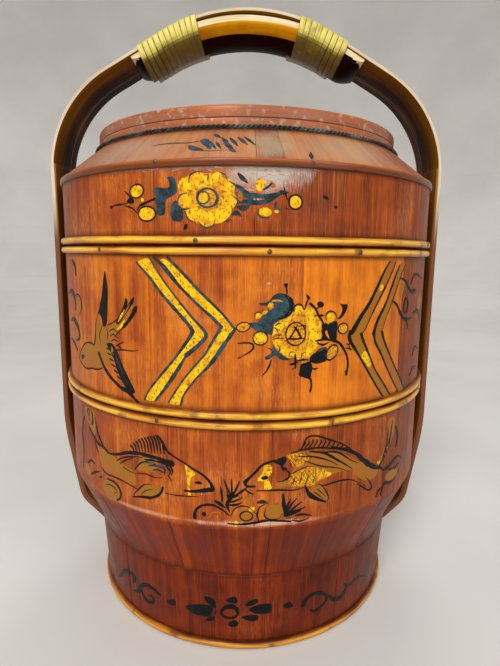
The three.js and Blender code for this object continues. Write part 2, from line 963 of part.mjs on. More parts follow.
// The basket
add( 'foot_ring', cut( footRing(), nailHoles() ), wallLacquer );
add( 'foot_hoop', footHoop(), hoopBamboo );
add( 'lower_tier_wall', cut( lowerWall(), nailHoles() ), bevelLacquer );
add( 'lower_tier_floor', board( lowerFloorRadius - seatGap, lowerFloorHeight ), innerWood );
add( 'lower_tier_hoop', revolved( hoopUnderRim( lowerJointHeight ) ), hoopBamboo );
add( 'lower_tier_lip', lip( lowerRimHeight ), innerWood );
add( 'middle_tier_wall', middleWall(), wallLacquer );
add( 'middle_tier_floor', board( grooveRadius - seatGap, middleFloorHeight ), innerWood );
add( 'middle_tier_bottom_hoop', revolved( hoopOverJoint( lowerJointHeight ) ), hoopBamboo );
add( 'middle_tier_top_hoop', revolved( hoopUnderRim( upperJointHeight ) ), hoopBamboo );
add( 'middle_tier_lip', lip( middleRimHeight ), innerWood );
add( 'lid_wall', lidWall(), wallLacquer );
add( 'lid_hoop', revolved( hoopOverJoint( upperJointHeight ) ), hoopBamboo );
add( 'lid_edge_strip', edgeStrip(), bevelLacquer );
add( 'lid_shoulder', shoulder(), wallLacquer );
add( 'lid_collar_band', collarBand(), bevelLacquer );
add( 'lid_collar_rim', collarRim(), bevelLacquer );
add( 'lid_collar_cord', collarCord(), darkCord );
add( 'lid_top_panel', topPanel(), wallLacquer );
const strap = plank( strapOutline(), strapWidth, strapEase );
add( 'handle_strap', cut( strap, [ footCutter(), ...nailHoles() ] ), strapBamboo );
add( 'handle_grip', grip(), gripBamboo );
add( 'handle_lashing_left', lashing( - 1, leftTurns, 'handle_lashing_left' ), rattan );
add( 'handle_lashing_right', lashing( 1, rightTurns, 'handle_lashing_right' ), rattan );
for ( const nail of nails ) {

	add( nail.name, nailPlaced( nailGeometry( nail.length ), ...nail.place ), iron );

}

export default basket;
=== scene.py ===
"""Dressed model of a tiered bamboo food basket.

Round coopered tiers of lacquered staves stand on a foot ring and are bound with split-bamboo hoops. A bent
bamboo strap carries them, with a half-culm grip that two rattan lashings bind under its crown. The ornament
is brushwork in blue-black and gold lacquer paint: peonies, a bird, two carp, bands and scrolls.

Sizes are in millimetres, and angles in degrees from the front (-Y) towards +X, unless a name says otherwise.
"""

import logging
import math
import random
from collections.abc import Callable, Sequence
from dataclasses import dataclass, field
from enum import Enum
from typing import NamedTuple

import bmesh
import bpy
import numpy as np
from bpy.types import Material, Mesh, Node, NodeSocket, NodeTree, Object
from mathutils import Matrix, Vector, noise


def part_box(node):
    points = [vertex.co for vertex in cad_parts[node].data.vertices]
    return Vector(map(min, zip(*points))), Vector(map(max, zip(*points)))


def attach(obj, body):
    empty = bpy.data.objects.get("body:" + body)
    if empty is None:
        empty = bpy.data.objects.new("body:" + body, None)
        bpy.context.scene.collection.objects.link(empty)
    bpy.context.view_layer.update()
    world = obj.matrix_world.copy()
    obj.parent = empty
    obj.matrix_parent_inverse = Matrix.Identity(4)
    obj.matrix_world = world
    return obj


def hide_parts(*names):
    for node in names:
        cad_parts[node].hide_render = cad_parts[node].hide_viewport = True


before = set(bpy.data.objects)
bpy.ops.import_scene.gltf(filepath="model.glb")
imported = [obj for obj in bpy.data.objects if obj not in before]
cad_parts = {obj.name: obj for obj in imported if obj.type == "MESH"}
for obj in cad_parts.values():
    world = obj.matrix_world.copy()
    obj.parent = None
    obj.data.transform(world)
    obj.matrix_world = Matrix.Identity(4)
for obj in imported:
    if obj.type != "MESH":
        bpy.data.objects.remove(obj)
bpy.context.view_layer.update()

MM = 0.001
GRAIN = "grain"
TONE = "tone"
FULL_TURN = 360
ARC_STEP = 1.5
EASE_STEP = 22.5
PATTERN_SHIFT = 171.0
MIX_A, MIX_B, MIX_RESULT = 6, 7, 2

Point = tuple[float, float]
Corner = tuple[float, ...]
Numbers = tuple[float, ...]

log = logging.getLogger("basket")


def place(angle: float, radius: float, height: float) -> Vector:
    """Finds a point of the basket.

    Args:
        angle: Degrees from the front towards +X.
        radius: Distance from the axis.
        height: Distance above the table.

    Returns:
        The point in metres.
    """
    turn = math.radians(angle)
    return Vector((radius * math.sin(turn), -radius * math.cos(turn), height)) * MM


def rounded(corners: Sequence[Corner], step: float = 6, closed: bool = True) -> list[Point]:
    """Replaces each corner that has a third number, a radius, by an arc.

    Args:
        corners: Corners as (x, y) or (x, y, radius).
        step: Degrees between two points of an arc.
        closed: Whether the last corner joins the first.

    Returns:
        The points of the rounded outline.
    """
    points = []
    for index, corner in enumerate(corners):
        here = Vector(corner[:2])
        is_end = not closed and index in (0, len(corners) - 1)
        if len(corner) < 3 or is_end:
            points.append(tuple(here))
            continue
        radius = corner[2]
        before = (Vector(corners[index - 1][:2]) - here).normalized()
        after = (Vector(corners[(index + 1) % len(corners)][:2]) - here).normalized()
        half = before.angle(after) / 2
        side = -math.copysign(1, before.cross(after))
        centre = here + (before + after).normalized() * radius / math.sin(half)
        spoke = here + before * radius / math.tan(half) - centre
        sweep = math.pi - 2 * half
        steps = max(1, round(math.degrees(sweep) / step))
        for k in range(steps + 1):
            points.append(tuple(centre + Matrix.Rotation(side * sweep * k / steps, 2) @ spoke))
    return points


def divided(points: Sequence[Point], longest: float, closed: bool = True) -> list[Point]:
    """Puts points on the stretches that are longer than a length.

    Args:
        points: The outline.
        longest: The longest stretch that stays whole.
        closed: Whether the last point joins the first.

    Returns:
        The outline with its new points.
    """
    result = []
    for index, point in enumerate(points):
        result.append(tuple(point))
        if index == len(points) - 1 and not closed:
            break
        start, end = Vector(point), Vector(points[(index + 1) % len(points)])
        pieces = math.ceil((end - start).length / longest)
        result.extend(tuple(start.lerp(end, k / pieces)) for k in range(1, pieces))
    return result


def smooth_path(points: Sequence[Point], step: float, closed: bool = False) -> list[Vector]:
    """Runs a smooth curve through given points.

    Args:
        points: The points that the curve passes.
        step: Distance between two points of the result.
        closed: Whether the curve comes back to its start.

    Returns:
        Points along the curve.
    """
    given = [Vector(p) for p in points]
    count = len(given)
    path = []
    for index in range(count if closed else count - 1):
        if closed:
            a, b, c, d = (given[(index + k) % count] for k in (-1, 0, 1, 2))
        else:
            b, c = given[index], given[index + 1]
            a = given[index - 1] if index else b + b - c
            d = given[index + 2] if index + 2 < count else c + c - b
        pieces = max(1, round((c - b).length / step))
        for k in range(pieces):
            t = k / pieces
            bend, twist = a * 2 - b * 5 + c * 4 - d, b * 3 - a - c * 3 + d
            path.append((b * 2 + (c - a) * t + bend * t ** 2 + twist * t ** 3) / 2)
    if not closed:
        path.append(given[-1])
    return path


def deselect_all() -> None:
    """Leaves nothing selected."""
    if bpy.context.mode == "EDIT_MESH":
        bpy.ops.mesh.select_all(action="DESELECT")
    else:
        bpy.ops.object.select_all(action="DESELECT")


def add_section(name: str, section: Sequence[Point], angle: float, filled: bool = True) -> None:
    """Adds a circle with a vertex for each corner of a section, and pulls it out to that section.

    The first one starts the piece and opens it in edit mode. Later ones become parts of the open piece.

    Args:
        name: The piece's name.
        section: Corners as (radius, height).
        angle: Where the section stands.
        filled: Whether the section has a face.
    """
    deselect_all()
    bpy.ops.mesh.primitive_circle_add(
        vertices=len(section), radius=MM, fill_type="NGON" if filled else "NOTHING"
    )
    if bpy.context.mode == "OBJECT":
        bpy.context.object.name = name
        bpy.context.object.data.name = name
        bpy.ops.object.mode_set(mode="EDIT")
        bpy.ops.mesh.select_all(action="SELECT")
    mesh = bpy.context.edit_object.data
    shape = bmesh.from_edit_mesh(mesh)
    chosen = [vertex for vertex in shape.verts if vertex.select]
    for vertex, (radius, height) in zip(chosen, section, strict=True):
        vertex.co = place(angle, radius, height)
    bmesh.update_edit_mesh(mesh)


def spin_selected(sweep: float) -> None:
    """Spins what is selected about the basket's axis, towards +X at the front.

    Args:
        sweep: Degrees of the whole spin.
    """
    steps = max(1, math.ceil(sweep / ARC_STEP))
    bpy.ops.mesh.spin(steps=steps, angle=-math.radians(sweep), center=(0, 0, 0), axis=(0, 0, 1))


def finish_piece(smooth_angle: float = 35, weld: float = 0.01) -> Object:
    """Merges doubles, turns the faces outwards and closes the open piece.

    Args:
        smooth_angle: Edges sharper than this many degrees stay crisp.
        weld: Vertices nearer than this are one.

    Returns:
        The piece.
    """
    bpy.ops.mesh.select_all(action="SELECT")
    bpy.ops.mesh.remove_doubles(threshold=weld * MM)
    bpy.ops.mesh.normals_make_consistent(inside=False)
    bpy.ops.object.mode_set(mode="OBJECT")
    piece = bpy.context.object
    shade_smooth(piece, smooth_angle)
    return piece


def shade_smooth(piece: Object, smooth_angle: float) -> None:
    """Shades a piece smooth, apart from its sharp edges.

    Args:
        piece: The piece.
        smooth_angle: Edges sharper than this many degrees stay crisp.
    """
    deselect_all()
    piece.select_set(True)
    bpy.context.view_layer.objects.active = piece
    bpy.ops.object.shade_smooth_by_angle(angle=math.radians(smooth_angle))
    piece.select_set(False)


def joined(pieces: Sequence[Object]) -> Object:
    """Joins pieces into the first of them.

    Args:
        pieces: The pieces.

    Returns:
        The piece that holds them all.
    """
    deselect_all()
    for piece in pieces:
        piece.select_set(True)
    bpy.context.view_layer.objects.active = pieces[0]
    bpy.ops.object.join()
    pieces[0].select_set(False)
    return pieces[0]


def turned_ring(name: str, section: Sequence[Point]) -> Object:
    """Spins a section into a closed ring.

    Args:
        name: The piece's name.
        section: Corners as (radius, height).

    Returns:
        The ring.
    """
    add_section(name, section, FULL_TURN / 2, filled=False)
    spin_selected(FULL_TURN)
    return finish_piece()


def piece_of(shape: bmesh.types.BMesh, name: str) -> Object:
    """Makes a piece of a finished shape, with its faces turned outwards.

    Args:
        shape: The shape, which is freed.
        name: The piece's name.

    Returns:
        The piece.
    """
    bmesh.ops.recalc_face_normals(shape, faces=shape.faces)
    mesh = bpy.data.meshes.new(name)
    shape.to_mesh(mesh)
    shape.free()
    piece = bpy.data.objects.new(name, mesh)
    bpy.context.scene.collection.objects.link(piece)
    return piece


def ease_edges(piece: Object, width: float, least: float) -> None:
    """Rounds the sharp edges of the active piece.

    Args:
        piece: The piece.
        width: How far the rounding reaches.
        least: Edges that turn by more than this many degrees are rounded.
    """
    edges = piece.modifiers.new("edges", "BEVEL")
    edges.width = width * MM
    edges.segments = 2
    edges.limit_method = "ANGLE"
    edges.angle_limit = math.radians(least)
    bpy.ops.object.modifier_apply(modifier=edges.name)


def loft(
    name: str,
    rings: Sequence[Sequence[Vector]],
    across: Sequence[float],
    along: Sequence[float],
    closed: bool = False,
    smooth_angle: float = 35,
) -> Object:
    """Joins rings of points into a closed body, as a strip or a culm whose section changes on its way.

    Args:
        name: The piece's name.
        rings: Rings with as many points each, in metres.
        across: Place of each of a ring's points round the section, and once more of the first.
        along: Place of each ring along the piece, and once more of the first where the piece is closed.
        closed: Whether the last ring joins the first.
        smooth_angle: Edges sharper than this many degrees stay crisp.

    Returns:
        The body.
    """
    shape = bmesh.new()
    grain = shape.loops.layers.uv.new(GRAIN)
    rows = [[shape.verts.new(point) for point in ring] for ring in rings]
    count = len(rings[0])
    for i in range(len(rows) - (not closed)):
        after = (i + 1) % len(rows)
        for k in range(count):
            following = (k + 1) % count
            corners = (rows[i][k], rows[i][following], rows[after][following], rows[after][k])
            face = shape.faces.new(corners)
            places = ((k, i), (k + 1, i), (k + 1, i + 1), (k, i + 1))
            for loop, (column, row) in zip(face.loops, places):
                loop[grain].uv = (across[column] * MM, along[row] * MM)
    if not closed:
        for row, way in ((0, -1), (-1, 1)):
            face = shape.faces.new(rows[row][::way])
            for loop, column in zip(face.loops, range(count)[::way]):
                loop[grain].uv = (across[column] * MM, along[row] * MM)
    piece = piece_of(shape, name)
    shade_smooth(piece, smooth_angle)
    return piece


def move_vertices(piece: Object, change: Callable[[float, float, float], Corner]) -> None:
    """Shapes a turned piece by hand, vertex by vertex.

    Args:
        piece: The piece.
        change: Gives a vertex's new angle, radius and height from its old ones.
    """
    for vertex in piece.data.vertices:
        x, y, z = vertex.co / MM
        vertex.co = place(*change(math.degrees(math.atan2(x, -y)), math.hypot(x, y), z))
    piece.data.update()


def corners_and_middles(mesh: Mesh) -> tuple[np.ndarray, np.ndarray]:
    """Reads a mesh's face corners.

    Args:
        mesh: The mesh.

    Returns:
        Each corner's point and the middle of its face, in millimetres.
    """
    points = np.empty(len(mesh.vertices) * 3)
    mesh.vertices.foreach_get("co", points)
    owners = np.empty(len(mesh.loops), int)
    mesh.loops.foreach_get("vertex_index", owners)
    totals = np.empty(len(mesh.polygons), int)
    mesh.polygons.foreach_get("loop_total", totals)
    middles = np.empty(len(mesh.polygons) * 3)
    mesh.polygons.foreach_get("center", middles)
    corner = points.reshape(-1, 3)[owners]
    return corner / MM, np.repeat(middles.reshape(-1, 3), totals, axis=0) / MM


def lay_map(piece: Object, across: np.ndarray, along: np.ndarray) -> None:
    """Writes the UV map that a grain or a brush follows.

    Args:
        piece: The piece.
        across: First coordinate of each face corner, in millimetres.
        along: Second coordinate of each face corner, in millimetres.
    """
    layer = piece.data.uv_layers.new(name=GRAIN)
    layer.data.foreach_set("uv", np.stack([across, along], -1).astype(np.float32).ravel() * MM)


def lay_turned_map(piece: Object, radius: float, seams: Sequence[float] = ()) -> None:
    """Maps a turned piece: round the basket first, then up or out along the wall.

    Args:
        piece: The piece.
        radius: Radius at which the way round has its true length.
        seams: Angles between staves. Each stave gets a stretch of the pattern of its own.
    """
    corner, middle = corners_and_middles(piece.data)
    facing = np.arctan2(middle[:, 0], -middle[:, 1])
    turn = np.arctan2(corner[:, 0], -corner[:, 1]) - facing
    turn = (turn + np.pi) % (2 * np.pi) - np.pi + facing
    index = np.searchsorted(np.radians(np.array(seams)), facing) % max(1, len(seams))
    away = np.hypot(corner[:, 0], corner[:, 1])
    shift = index * PATTERN_SHIFT
    lay_map(piece, turn * radius + shift, corner[:, 2] - away + shift)


def set_face_values(piece: Object, name: str, values: Sequence[float]) -> None:
    """Writes a number for each face, which a finish reads.

    Args:
        piece: The piece.
        name: The attribute's name.
        values: One number for each face.
    """
    attribute = piece.data.attributes.new(name, "FLOAT", "FACE")
    attribute.data.foreach_set("value", np.asarray(values, np.float32))


def linear(code: str) -> tuple[float, float, float, float]:
    """Turns an sRGB hex colour to the linear one that nodes take.

    Args:
        code: The colour as #rrggbb.

    Returns:
        The linear colour with full alpha.
    """
    parts = [int(code[k:k + 2], 16) / 255 for k in (1, 3, 5)]
    return (*[p / 12.92 if p <= 0.04045 else ((p + 0.055) / 1.055) ** 2.4 for p in parts], 1.0)


def add_node(
    tree: NodeTree,
    kind: str,
    settings: dict | None = None,
    values: dict | None = None,
    links: dict | None = None,
) -> Node:
    """Adds a node with its settings and links.

    Args:
        tree: The material's nodes.
        kind: The node's type.
        settings: The node's own properties.
        values: Default values of its inputs.
        links: Sockets that its inputs are linked from.

    Returns:
        The node.
    """
    made = tree.nodes.new(kind)
    for key, value in (settings or {}).items():
        setattr(made, key, value)
    for key, value in (values or {}).items():
        made.inputs[key].default_value = value
    for key, source in (links or {}).items():
        tree.links.new(source, made.inputs[key])
    return made


class Body(Enum):
    """What a piece moves with."""

    LOWER_TIER = "lower_tier"
    MIDDLE_TIER = "middle_tier"
    LID = "lid"


class Slot(Enum):
    """What a piece is made of."""

    LACQUER = "lacquered_staves"
    WOOD = "bare_wood"
    HOOP = "bamboo_hoop"
    SMOKED = "smoked_bamboo"
    CULM = "golden_culm"
    RATTAN = "rattan_strip"
    CORD = "dark_cord"
    IRON = "iron_nail"
    PAINT = "painted_decoration"
    GILT = "gilt_decoration"


class Paint(Enum):
    """The colours of the brushwork, and the chalky places where the lacquer is worn through, also used for
    painted highlights.
    """

    DARK = "dark"
    SLATE = "slate"
    GOLD = "gold"
    AMBER = "thin_gold"
    WASH = "tarnished"
    SCUFF = "scuffs_and_highlights"


def dress(piece: Object, finish: Material, body: Body, slot: Slot, *nodes: str) -> None:
    """Gives a piece its finish and its place in the basket.

    Args:
        piece: The piece.
        finish: Its material.
        body: What it moves with.
        slot: What it is made of. It is not used.
        *nodes: The plain solids that it stands for.
    """
    piece.data.materials.clear()
    piece.data.materials.append(finish)
    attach(piece, body.value)
    if nodes:
        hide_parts(*nodes)
    log.info("%s: %d faces", piece.name, len(piece.data.polygons))


def new_finish(name: str) -> tuple[Material, NodeTree]:
    """Starts a material without nodes.

    Args:
        name: The common name of the finish.

    Returns:
        The material and its tree.
    """
    material = bpy.data.materials.new(name)
    material.use_nodes = True
    material.node_tree.nodes.clear()
    return material, material.node_tree


def end_finish(tree: NodeTree, values: dict, links: dict) -> None:
    """Adds the surface and the output that end a material.

    Args:
        tree: The material's nodes.
        values: Constants of the surface.
        links: Patterns that drive the surface.
    """
    surface = add_node(tree, "ShaderNodeBsdfPrincipled", values=values, links=links)
    add_node(tree, "ShaderNodeOutputMaterial", links={"Surface": surface.outputs[0]})


def streaks(tree: NodeTree, across: float, along: float, detail: float = 2.0) -> NodeSocket:
    """Draws a pattern out along the grain.

    Args:
        tree: The material's nodes.
        across: Size over the grain.
        along: Size along the grain.
        detail: Octaves of the pattern.

    Returns:
        A value that is 0.5 on average.
    """
    grain = add_node(tree, "ShaderNodeUVMap", {"uv_map": GRAIN})
    size = {"Scale": (1 / (across * MM), 1 / (along * MM), 1)}
    drawn = add_node(tree, "ShaderNodeMapping", values=size, links={"Vector": grain.outputs[0]})
    values = {"Scale": 1, "Detail": detail}
    return add_node(tree, "ShaderNodeTexNoise", values=values, links={"Vector": drawn.outputs[0]}).outputs[0]


def patches(tree: NodeTree, size: float, detail: float = 3.0) -> NodeSocket:
    """Draws a pattern that is as wide as it is high.

    Args:
        tree: The material's nodes.
        size: Size of a patch.
        detail: Octaves of the pattern.

    Returns:
        A value that is 0.5 on average.
    """
    spot = add_node(tree, "ShaderNodeTexCoord").outputs["Object"]
    values = {"Scale": 1 / (size * MM), "Detail": detail}
    return add_node(tree, "ShaderNodeTexNoise", values=values, links={"Vector": spot}).outputs[0]


def distance_from(tree: NodeTree, centre: Corner, reach: Corner) -> NodeSocket:
    """Measures how far a point is from a place on the basket.

    Args:
        tree: The material's nodes.
        centre: The place, in millimetres.
        reach: Half its size along X, Y and Z.

    Returns:
        The distance, which is 1 at the place's edge.
    """
    spot = add_node(tree, "ShaderNodeTexCoord").outputs["Object"]
    values = {"Location": Vector(centre) * MM, "Scale": Vector(reach) * MM}
    near = add_node(tree, "ShaderNodeMapping", {"vector_type": "TEXTURE"}, values, {"Vector": spot})
    length = add_node(tree, "ShaderNodeVectorMath", {"operation": "LENGTH"}, links={0: near.outputs[0]})
    return length.outputs["Value"]


def mixed(
    tree: NodeTree,
    base: str | NodeSocket,
    coat: str | NodeSocket,
    mask: NodeSocket,
    start: float,
    end: float,
    most: float = 1.0,
    blend: str = "MIX",
) -> NodeSocket:
    """Lays one colour over another where a pattern is strong.

    Args:
        tree: The material's nodes.
        base: Hex colour or pattern below.
        coat: Hex colour or pattern above.
        mask: The pattern.
        start: Value of the pattern where the upper colour begins.
        end: Value of the pattern where the upper colour is at its most.
        most: The most that the upper colour covers.
        blend: How the colours blend.

    Returns:
        The blended colour.
    """
    limits = {"From Min": start, "From Max": end, "To Max": most}
    share = add_node(tree, "ShaderNodeMapRange", values=limits, links={"Value": mask})
    values, links = {}, {0: share.outputs[0]}
    for key, colour in ((MIX_A, base), (MIX_B, coat)):
        if isinstance(colour, str):
            values[key] = linear(colour)
        else:
            links[key] = colour
    blended = add_node(tree, "ShaderNodeMix", {"data_type": "RGBA", "blend_type": blend}, values, links)
    return blended.outputs[MIX_RESULT]


def added(
    tree: NodeTree, first: NodeSocket, second: NodeSocket, weight: float
) -> NodeSocket:
    """Adds one pattern's departure from its average to another.

    Args:
        tree: The material's nodes.
        first: The pattern that is added to.
        second: The pattern that is added.
        weight: How strongly it is added.

    Returns:
        The sum.
    """
    weights = {1: weight, 2: -weight / 2}
    centred = add_node(tree, "ShaderNodeMath", {"operation": "MULTIPLY_ADD"}, weights, {0: second})
    return add_node(tree, "ShaderNodeMath", links={0: first, 1: centred.outputs[0]}).outputs[0]


def relief(
    tree: NodeTree, height: NodeSocket, depth: float, strength: float
) -> NodeSocket:
    """Turns a pattern to fine relief.

    Args:
        tree: The material's nodes.
        height: The pattern.
        depth: Height of the relief.
        strength: How much of it shows.

    Returns:
        The normal.
    """
    values = {"Strength": strength, "Distance": depth * MM}
    return add_node(tree, "ShaderNodeBump", values=values, links={"Height": height}).outputs[0]


def face_value(tree: NodeTree) -> NodeSocket:
    """Reads the number that each face was given.

    Args:
        tree: The material's nodes.

    Returns:
        The number.
    """
    return add_node(tree, "ShaderNodeAttribute", {"attribute_name": TONE}).outputs["Fac"]


def height_of(tree: NodeTree) -> NodeSocket:
    """Reads the height over the table.

    Args:
        tree: The material's nodes.

    Returns:
        The height in metres.
    """
    spot = add_node(tree, "ShaderNodeTexCoord").outputs["Object"]
    return add_node(tree, "ShaderNodeSeparateXYZ", links={"Vector": spot}).outputs[2]


def off_middle(tree: NodeTree) -> tuple[NodeSocket, NodeSocket]:
    """Reads how far a point lies from its strip's middle line.

    Args:
        tree: The material's nodes.

    Returns:
        The distance in metres, with its side and without.
    """
    grain = add_node(tree, "ShaderNodeUVMap", {"uv_map": GRAIN}).outputs[0]
    across = add_node(tree, "ShaderNodeSeparateXYZ", links={"Vector": grain}).outputs[0]
    return across, add_node(tree, "ShaderNodeMath", {"operation": "ABSOLUTE"}, links={0: across}).outputs[0]


@dataclass(frozen=True)
class LacqueredStaves:
    """Bamboo staves under old shellac, which lets the fibres show and has a low, broken gloss."""

    name: str
    low: float
    high: float
    dark: str = "#4a1a0c"
    middle: str = "#9a4417"
    bright: str = "#df7d14"
    fibre: str = "#3d180a"
    # Painted shade along the wall's lower and upper edge, where it meets a hoop or rim.
    edge_shade: str = "#2a120a"
    glow: str = "#eb981c"
    dust: str = "#d9a47a"
    # Colour of painted shade. It is multiplied in from the first of the two heights below and is full from
    # the second one down.
    deep: str = "#b8906e"
    painted_shade_from: float = 0.0
    painted_shade_to: float = -1.0
    # Pale hazes laid at given places: painted highlights and reflections on the gloss, together with milky
    # worn lacquer.
    wear_and_sheen_haze: str = "#b9b5aa"
    wear_and_sheen_hazes: tuple[tuple[Corner, Corner, float], ...] = ()
    # Bamboo's fibres are 0.2 to 0.4 mm wide. They are drawn a little coarser, so that they show.
    fibre_width: float = 0.55
    fibre_length: float = 38
    fleck_length: float = 5
    band_width: float = 6
    band_length: float = 150
    mottle: float = 11
    patch: float = 38
    # How far the painted shade reaches in from each edge.
    edge_shade_reach: float = 3

    def make(self) -> Material:
        """Builds the material."""
        material, tree = new_finish(self.name)
        fibres = streaks(tree, self.fibre_width, self.fibre_length, 3)
        flecks = streaks(tree, self.fibre_width, self.fleck_length, 4)
        worn = patches(tree, self.patch, 4)
        mottle = patches(tree, self.mottle, 4)
        tone = face_value(tree)
        bands = streaks(tree, self.band_width, self.band_length)
        for pattern, weight in ((bands, 0.8), (worn, 0.6), (mottle, 0.5), (flecks, 0.3)):
            tone = added(tree, tone, pattern, weight)
        colour = mixed(tree, self.dark, self.middle, tone, 0.0, 0.5)
        colour = mixed(tree, colour, self.bright, tone, 0.5, 1.0)
        colour = mixed(tree, colour, self.fibre, fibres, 0.55, 0.78, 0.42)
        colour = mixed(tree, colour, self.fibre, flecks, 0.62, 0.8, 0.5)
        colour = mixed(tree, colour, self.glow, fibres, 0.45, 0.28, 0.34)
        colour = mixed(tree, colour, self.dust, added(tree, flecks, worn, 0.8), 0.6, 0.86, 0.3)
        # Pale hazes: painted highlights and reflections, and worn lacquer.
        for centre, reach, most in self.wear_and_sheen_hazes:
            away = added(tree, added(tree, distance_from(tree, centre, reach), flecks, 1.4), mottle, 1.2)
            colour = mixed(tree, colour, self.wear_and_sheen_haze, away, 1.0, 0.35, most)
        height = height_of(tree)
        # Painted shade, multiplied in below a given height.
        start, end = self.painted_shade_from * MM, self.painted_shade_to * MM
        colour = mixed(tree, colour, self.deep, height, start, end, blend="MULTIPLY")
        # Painted shade: the wall darkens over the last few millimetres towards each edge, next to a hoop or
        # rim.
        for edge, away in ((self.low, 1), (self.high, -1)):
            start = (edge + away * self.edge_shade_reach) * MM
            colour = mixed(tree, colour, self.edge_shade, height, start, edge * MM, 0.6)
        limits = {"From Min": 0.3, "From Max": 0.7, "To Min": 0.32, "To Max": 0.52}
        roughness = add_node(
            tree, "ShaderNodeMapRange", values=limits, links={"Value": added(tree, mottle, worn, 0.6)}
        )
        end_finish(
            tree, {"IOR": 1.5, "Specular IOR Level": 0.12, "Coat Weight": 0.04, "Coat Roughness": 0.14},
            {
                "Base Color": colour, "Roughness": roughness.outputs[0],
                "Normal": relief(tree, added(tree, fibres, mottle, 0.8), depth=0.14, strength=0.55),
            },
        )
        return material


@dataclass(frozen=True)
class SplitBamboo:
    """A split-bamboo strip with its skin out: golden and smooth on the crown, brown where it is cut."""

    name: str
    half_width: float
    skin: str = "#f0c036"
    streak: str = "#b8701c"
    edge: str = "#54220a"
    scar: str = "#6e3812"
    shade: str = "#bc6a1a"
    # Colour of painted shade on the strip's lower part, which is darker as the light comes from above. The
    # number below sets where it starts, as a share of the half width above the middle.
    lower: str = "#a85c12"
    underside_shade_from: float = 0.0
    streak_width: float = 0.7
    streak_length: float = 40
    scar_length: float = 7
    roughness: float = 0.32

    def make(self) -> Material:
        """Builds the material."""
        material, tree = new_finish(self.name)
        fibres = streaks(tree, self.streak_width, self.streak_length, 3)
        stains = patches(tree, self.scar_length * 2)
        long_stains = streaks(tree, self.half_width * 1.6, self.streak_length * 1.2)
        half = self.half_width * MM
        rise, across = off_middle(tree)
        across = added(tree, across, long_stains, half * 1.3)
        colour = mixed(tree, self.skin, self.streak, fibres, 0.45, 0.7, 0.9)
        colour = mixed(tree, colour, self.shade, long_stains, 0.5, 0.66, 0.8)
        colour = mixed(tree, colour, self.shade, across, half * 0.3, half * 0.62, 0.8)
        # Painted shade: darker below a line across the strip.
        top = self.underside_shade_from * half
        colour = mixed(tree, colour, self.lower, rise, top, top - half * 0.4, 0.65)
        colour = mixed(tree, colour, self.edge, across, half * 0.6, half, 0.95)
        colour = mixed(tree, colour, self.scar, stains, 0.56, 0.7, 0.8)
        values = {"IOR": 1.5, "Specular IOR Level": 0.25, "Roughness": self.roughness}
        coat = {"Coat Weight": 0.12, "Coat Roughness": 0.15}
        bump = relief(tree, fibres, depth=0.1, strength=0.4)
        end_finish(tree, values | coat, {"Base Color": colour, "Normal": bump})
        return material


@dataclass(frozen=True)
class SmokedBamboo:
    """The bent strap: a smoked culm's outer wood, dark and satin, with paler fibres where it is cut."""

    name: str = "smoked bamboo"
    dark: str = "#160903"
    brown: str = "#482607"
    amber: str = "#94600c"
    cut: str = "#d8c6a8"
    cut_fibre: str = "#a07c5c"
    inner_cut: str = "#7d4f1e"
    low_cut: str = "#74432c"
    low_from: float = 335
    low_to: float = 290
    half_width: float = 25
    cut_skin: float = 2.0
    skin_blend: float = 0.6
    # Place and width of a pale line along the inner face: a painted highlight on a rim.
    rim_highlight_place: float = 12.5
    rim_highlight_width: float = 0.4
    low_sway: float = 150
    fibre_width: float = 0.8
    fibre_length: float = 70
    band_width: float = 9
    band_length: float = 160

    def make(self) -> Material:
        """Builds the material. A face's number is -1 on the outer face, 0 on the inner, 1 on a cut."""
        material, tree = new_finish(self.name)
        fibres = streaks(tree, self.fibre_width, self.fibre_length, 3)
        bands = streaks(tree, self.band_width, self.band_length)
        across, away = off_middle(tree)
        tone = added(tree, bands, patches(tree, self.band_length / 3), 0.6)
        skin = mixed(tree, self.dark, self.brown, tone, 0.3, 0.62)
        skin = mixed(tree, skin, self.amber, tone, 0.5, 0.8, 0.8)
        cut = face_value(tree)
        lit = mixed(tree, skin, self.amber, across, 0.0, -self.half_width * MM, 0.85)
        skin = mixed(tree, skin, lit, cut, -0.9, -0.1)
        skin = mixed(tree, skin, self.dark, fibres, 0.5, 0.72, 0.6)
        # Painted highlight: a pale line along the inner face, where a rim would catch the light.
        line = {1: self.rim_highlight_place * MM, 2: self.rim_highlight_width * MM}
        on_rim_highlight = add_node(tree, "ShaderNodeMath", {"operation": "COMPARE"}, line, {0: across}).outputs[0]
        skin = mixed(tree, skin, self.cut_fibre, on_rim_highlight, 0.0, 1.0, 0.7)
        sides = mixed(tree, self.cut, self.cut_fibre, fibres, 0.45, 0.72, 0.6)
        deep = (2 * self.half_width + self.cut_skin) * MM
        sides = mixed(tree, sides, self.inner_cut, away, deep, deep + self.skin_blend * MM, 0.9)
        height = added(tree, height_of(tree), bands, self.low_sway * MM)
        sides = mixed(tree, sides, self.low_cut, height, self.low_from * MM, self.low_to * MM, 0.95)
        colour = mixed(tree, skin, sides, cut, 0.0, 1.0)
        end_finish(
            tree, {"IOR": 1.5, "Specular IOR Level": 0.02, "Roughness": 0.5},
            {"Base Color": colour, "Normal": relief(tree, fibres, depth=0.12, strength=0.5)},
        )
        return material


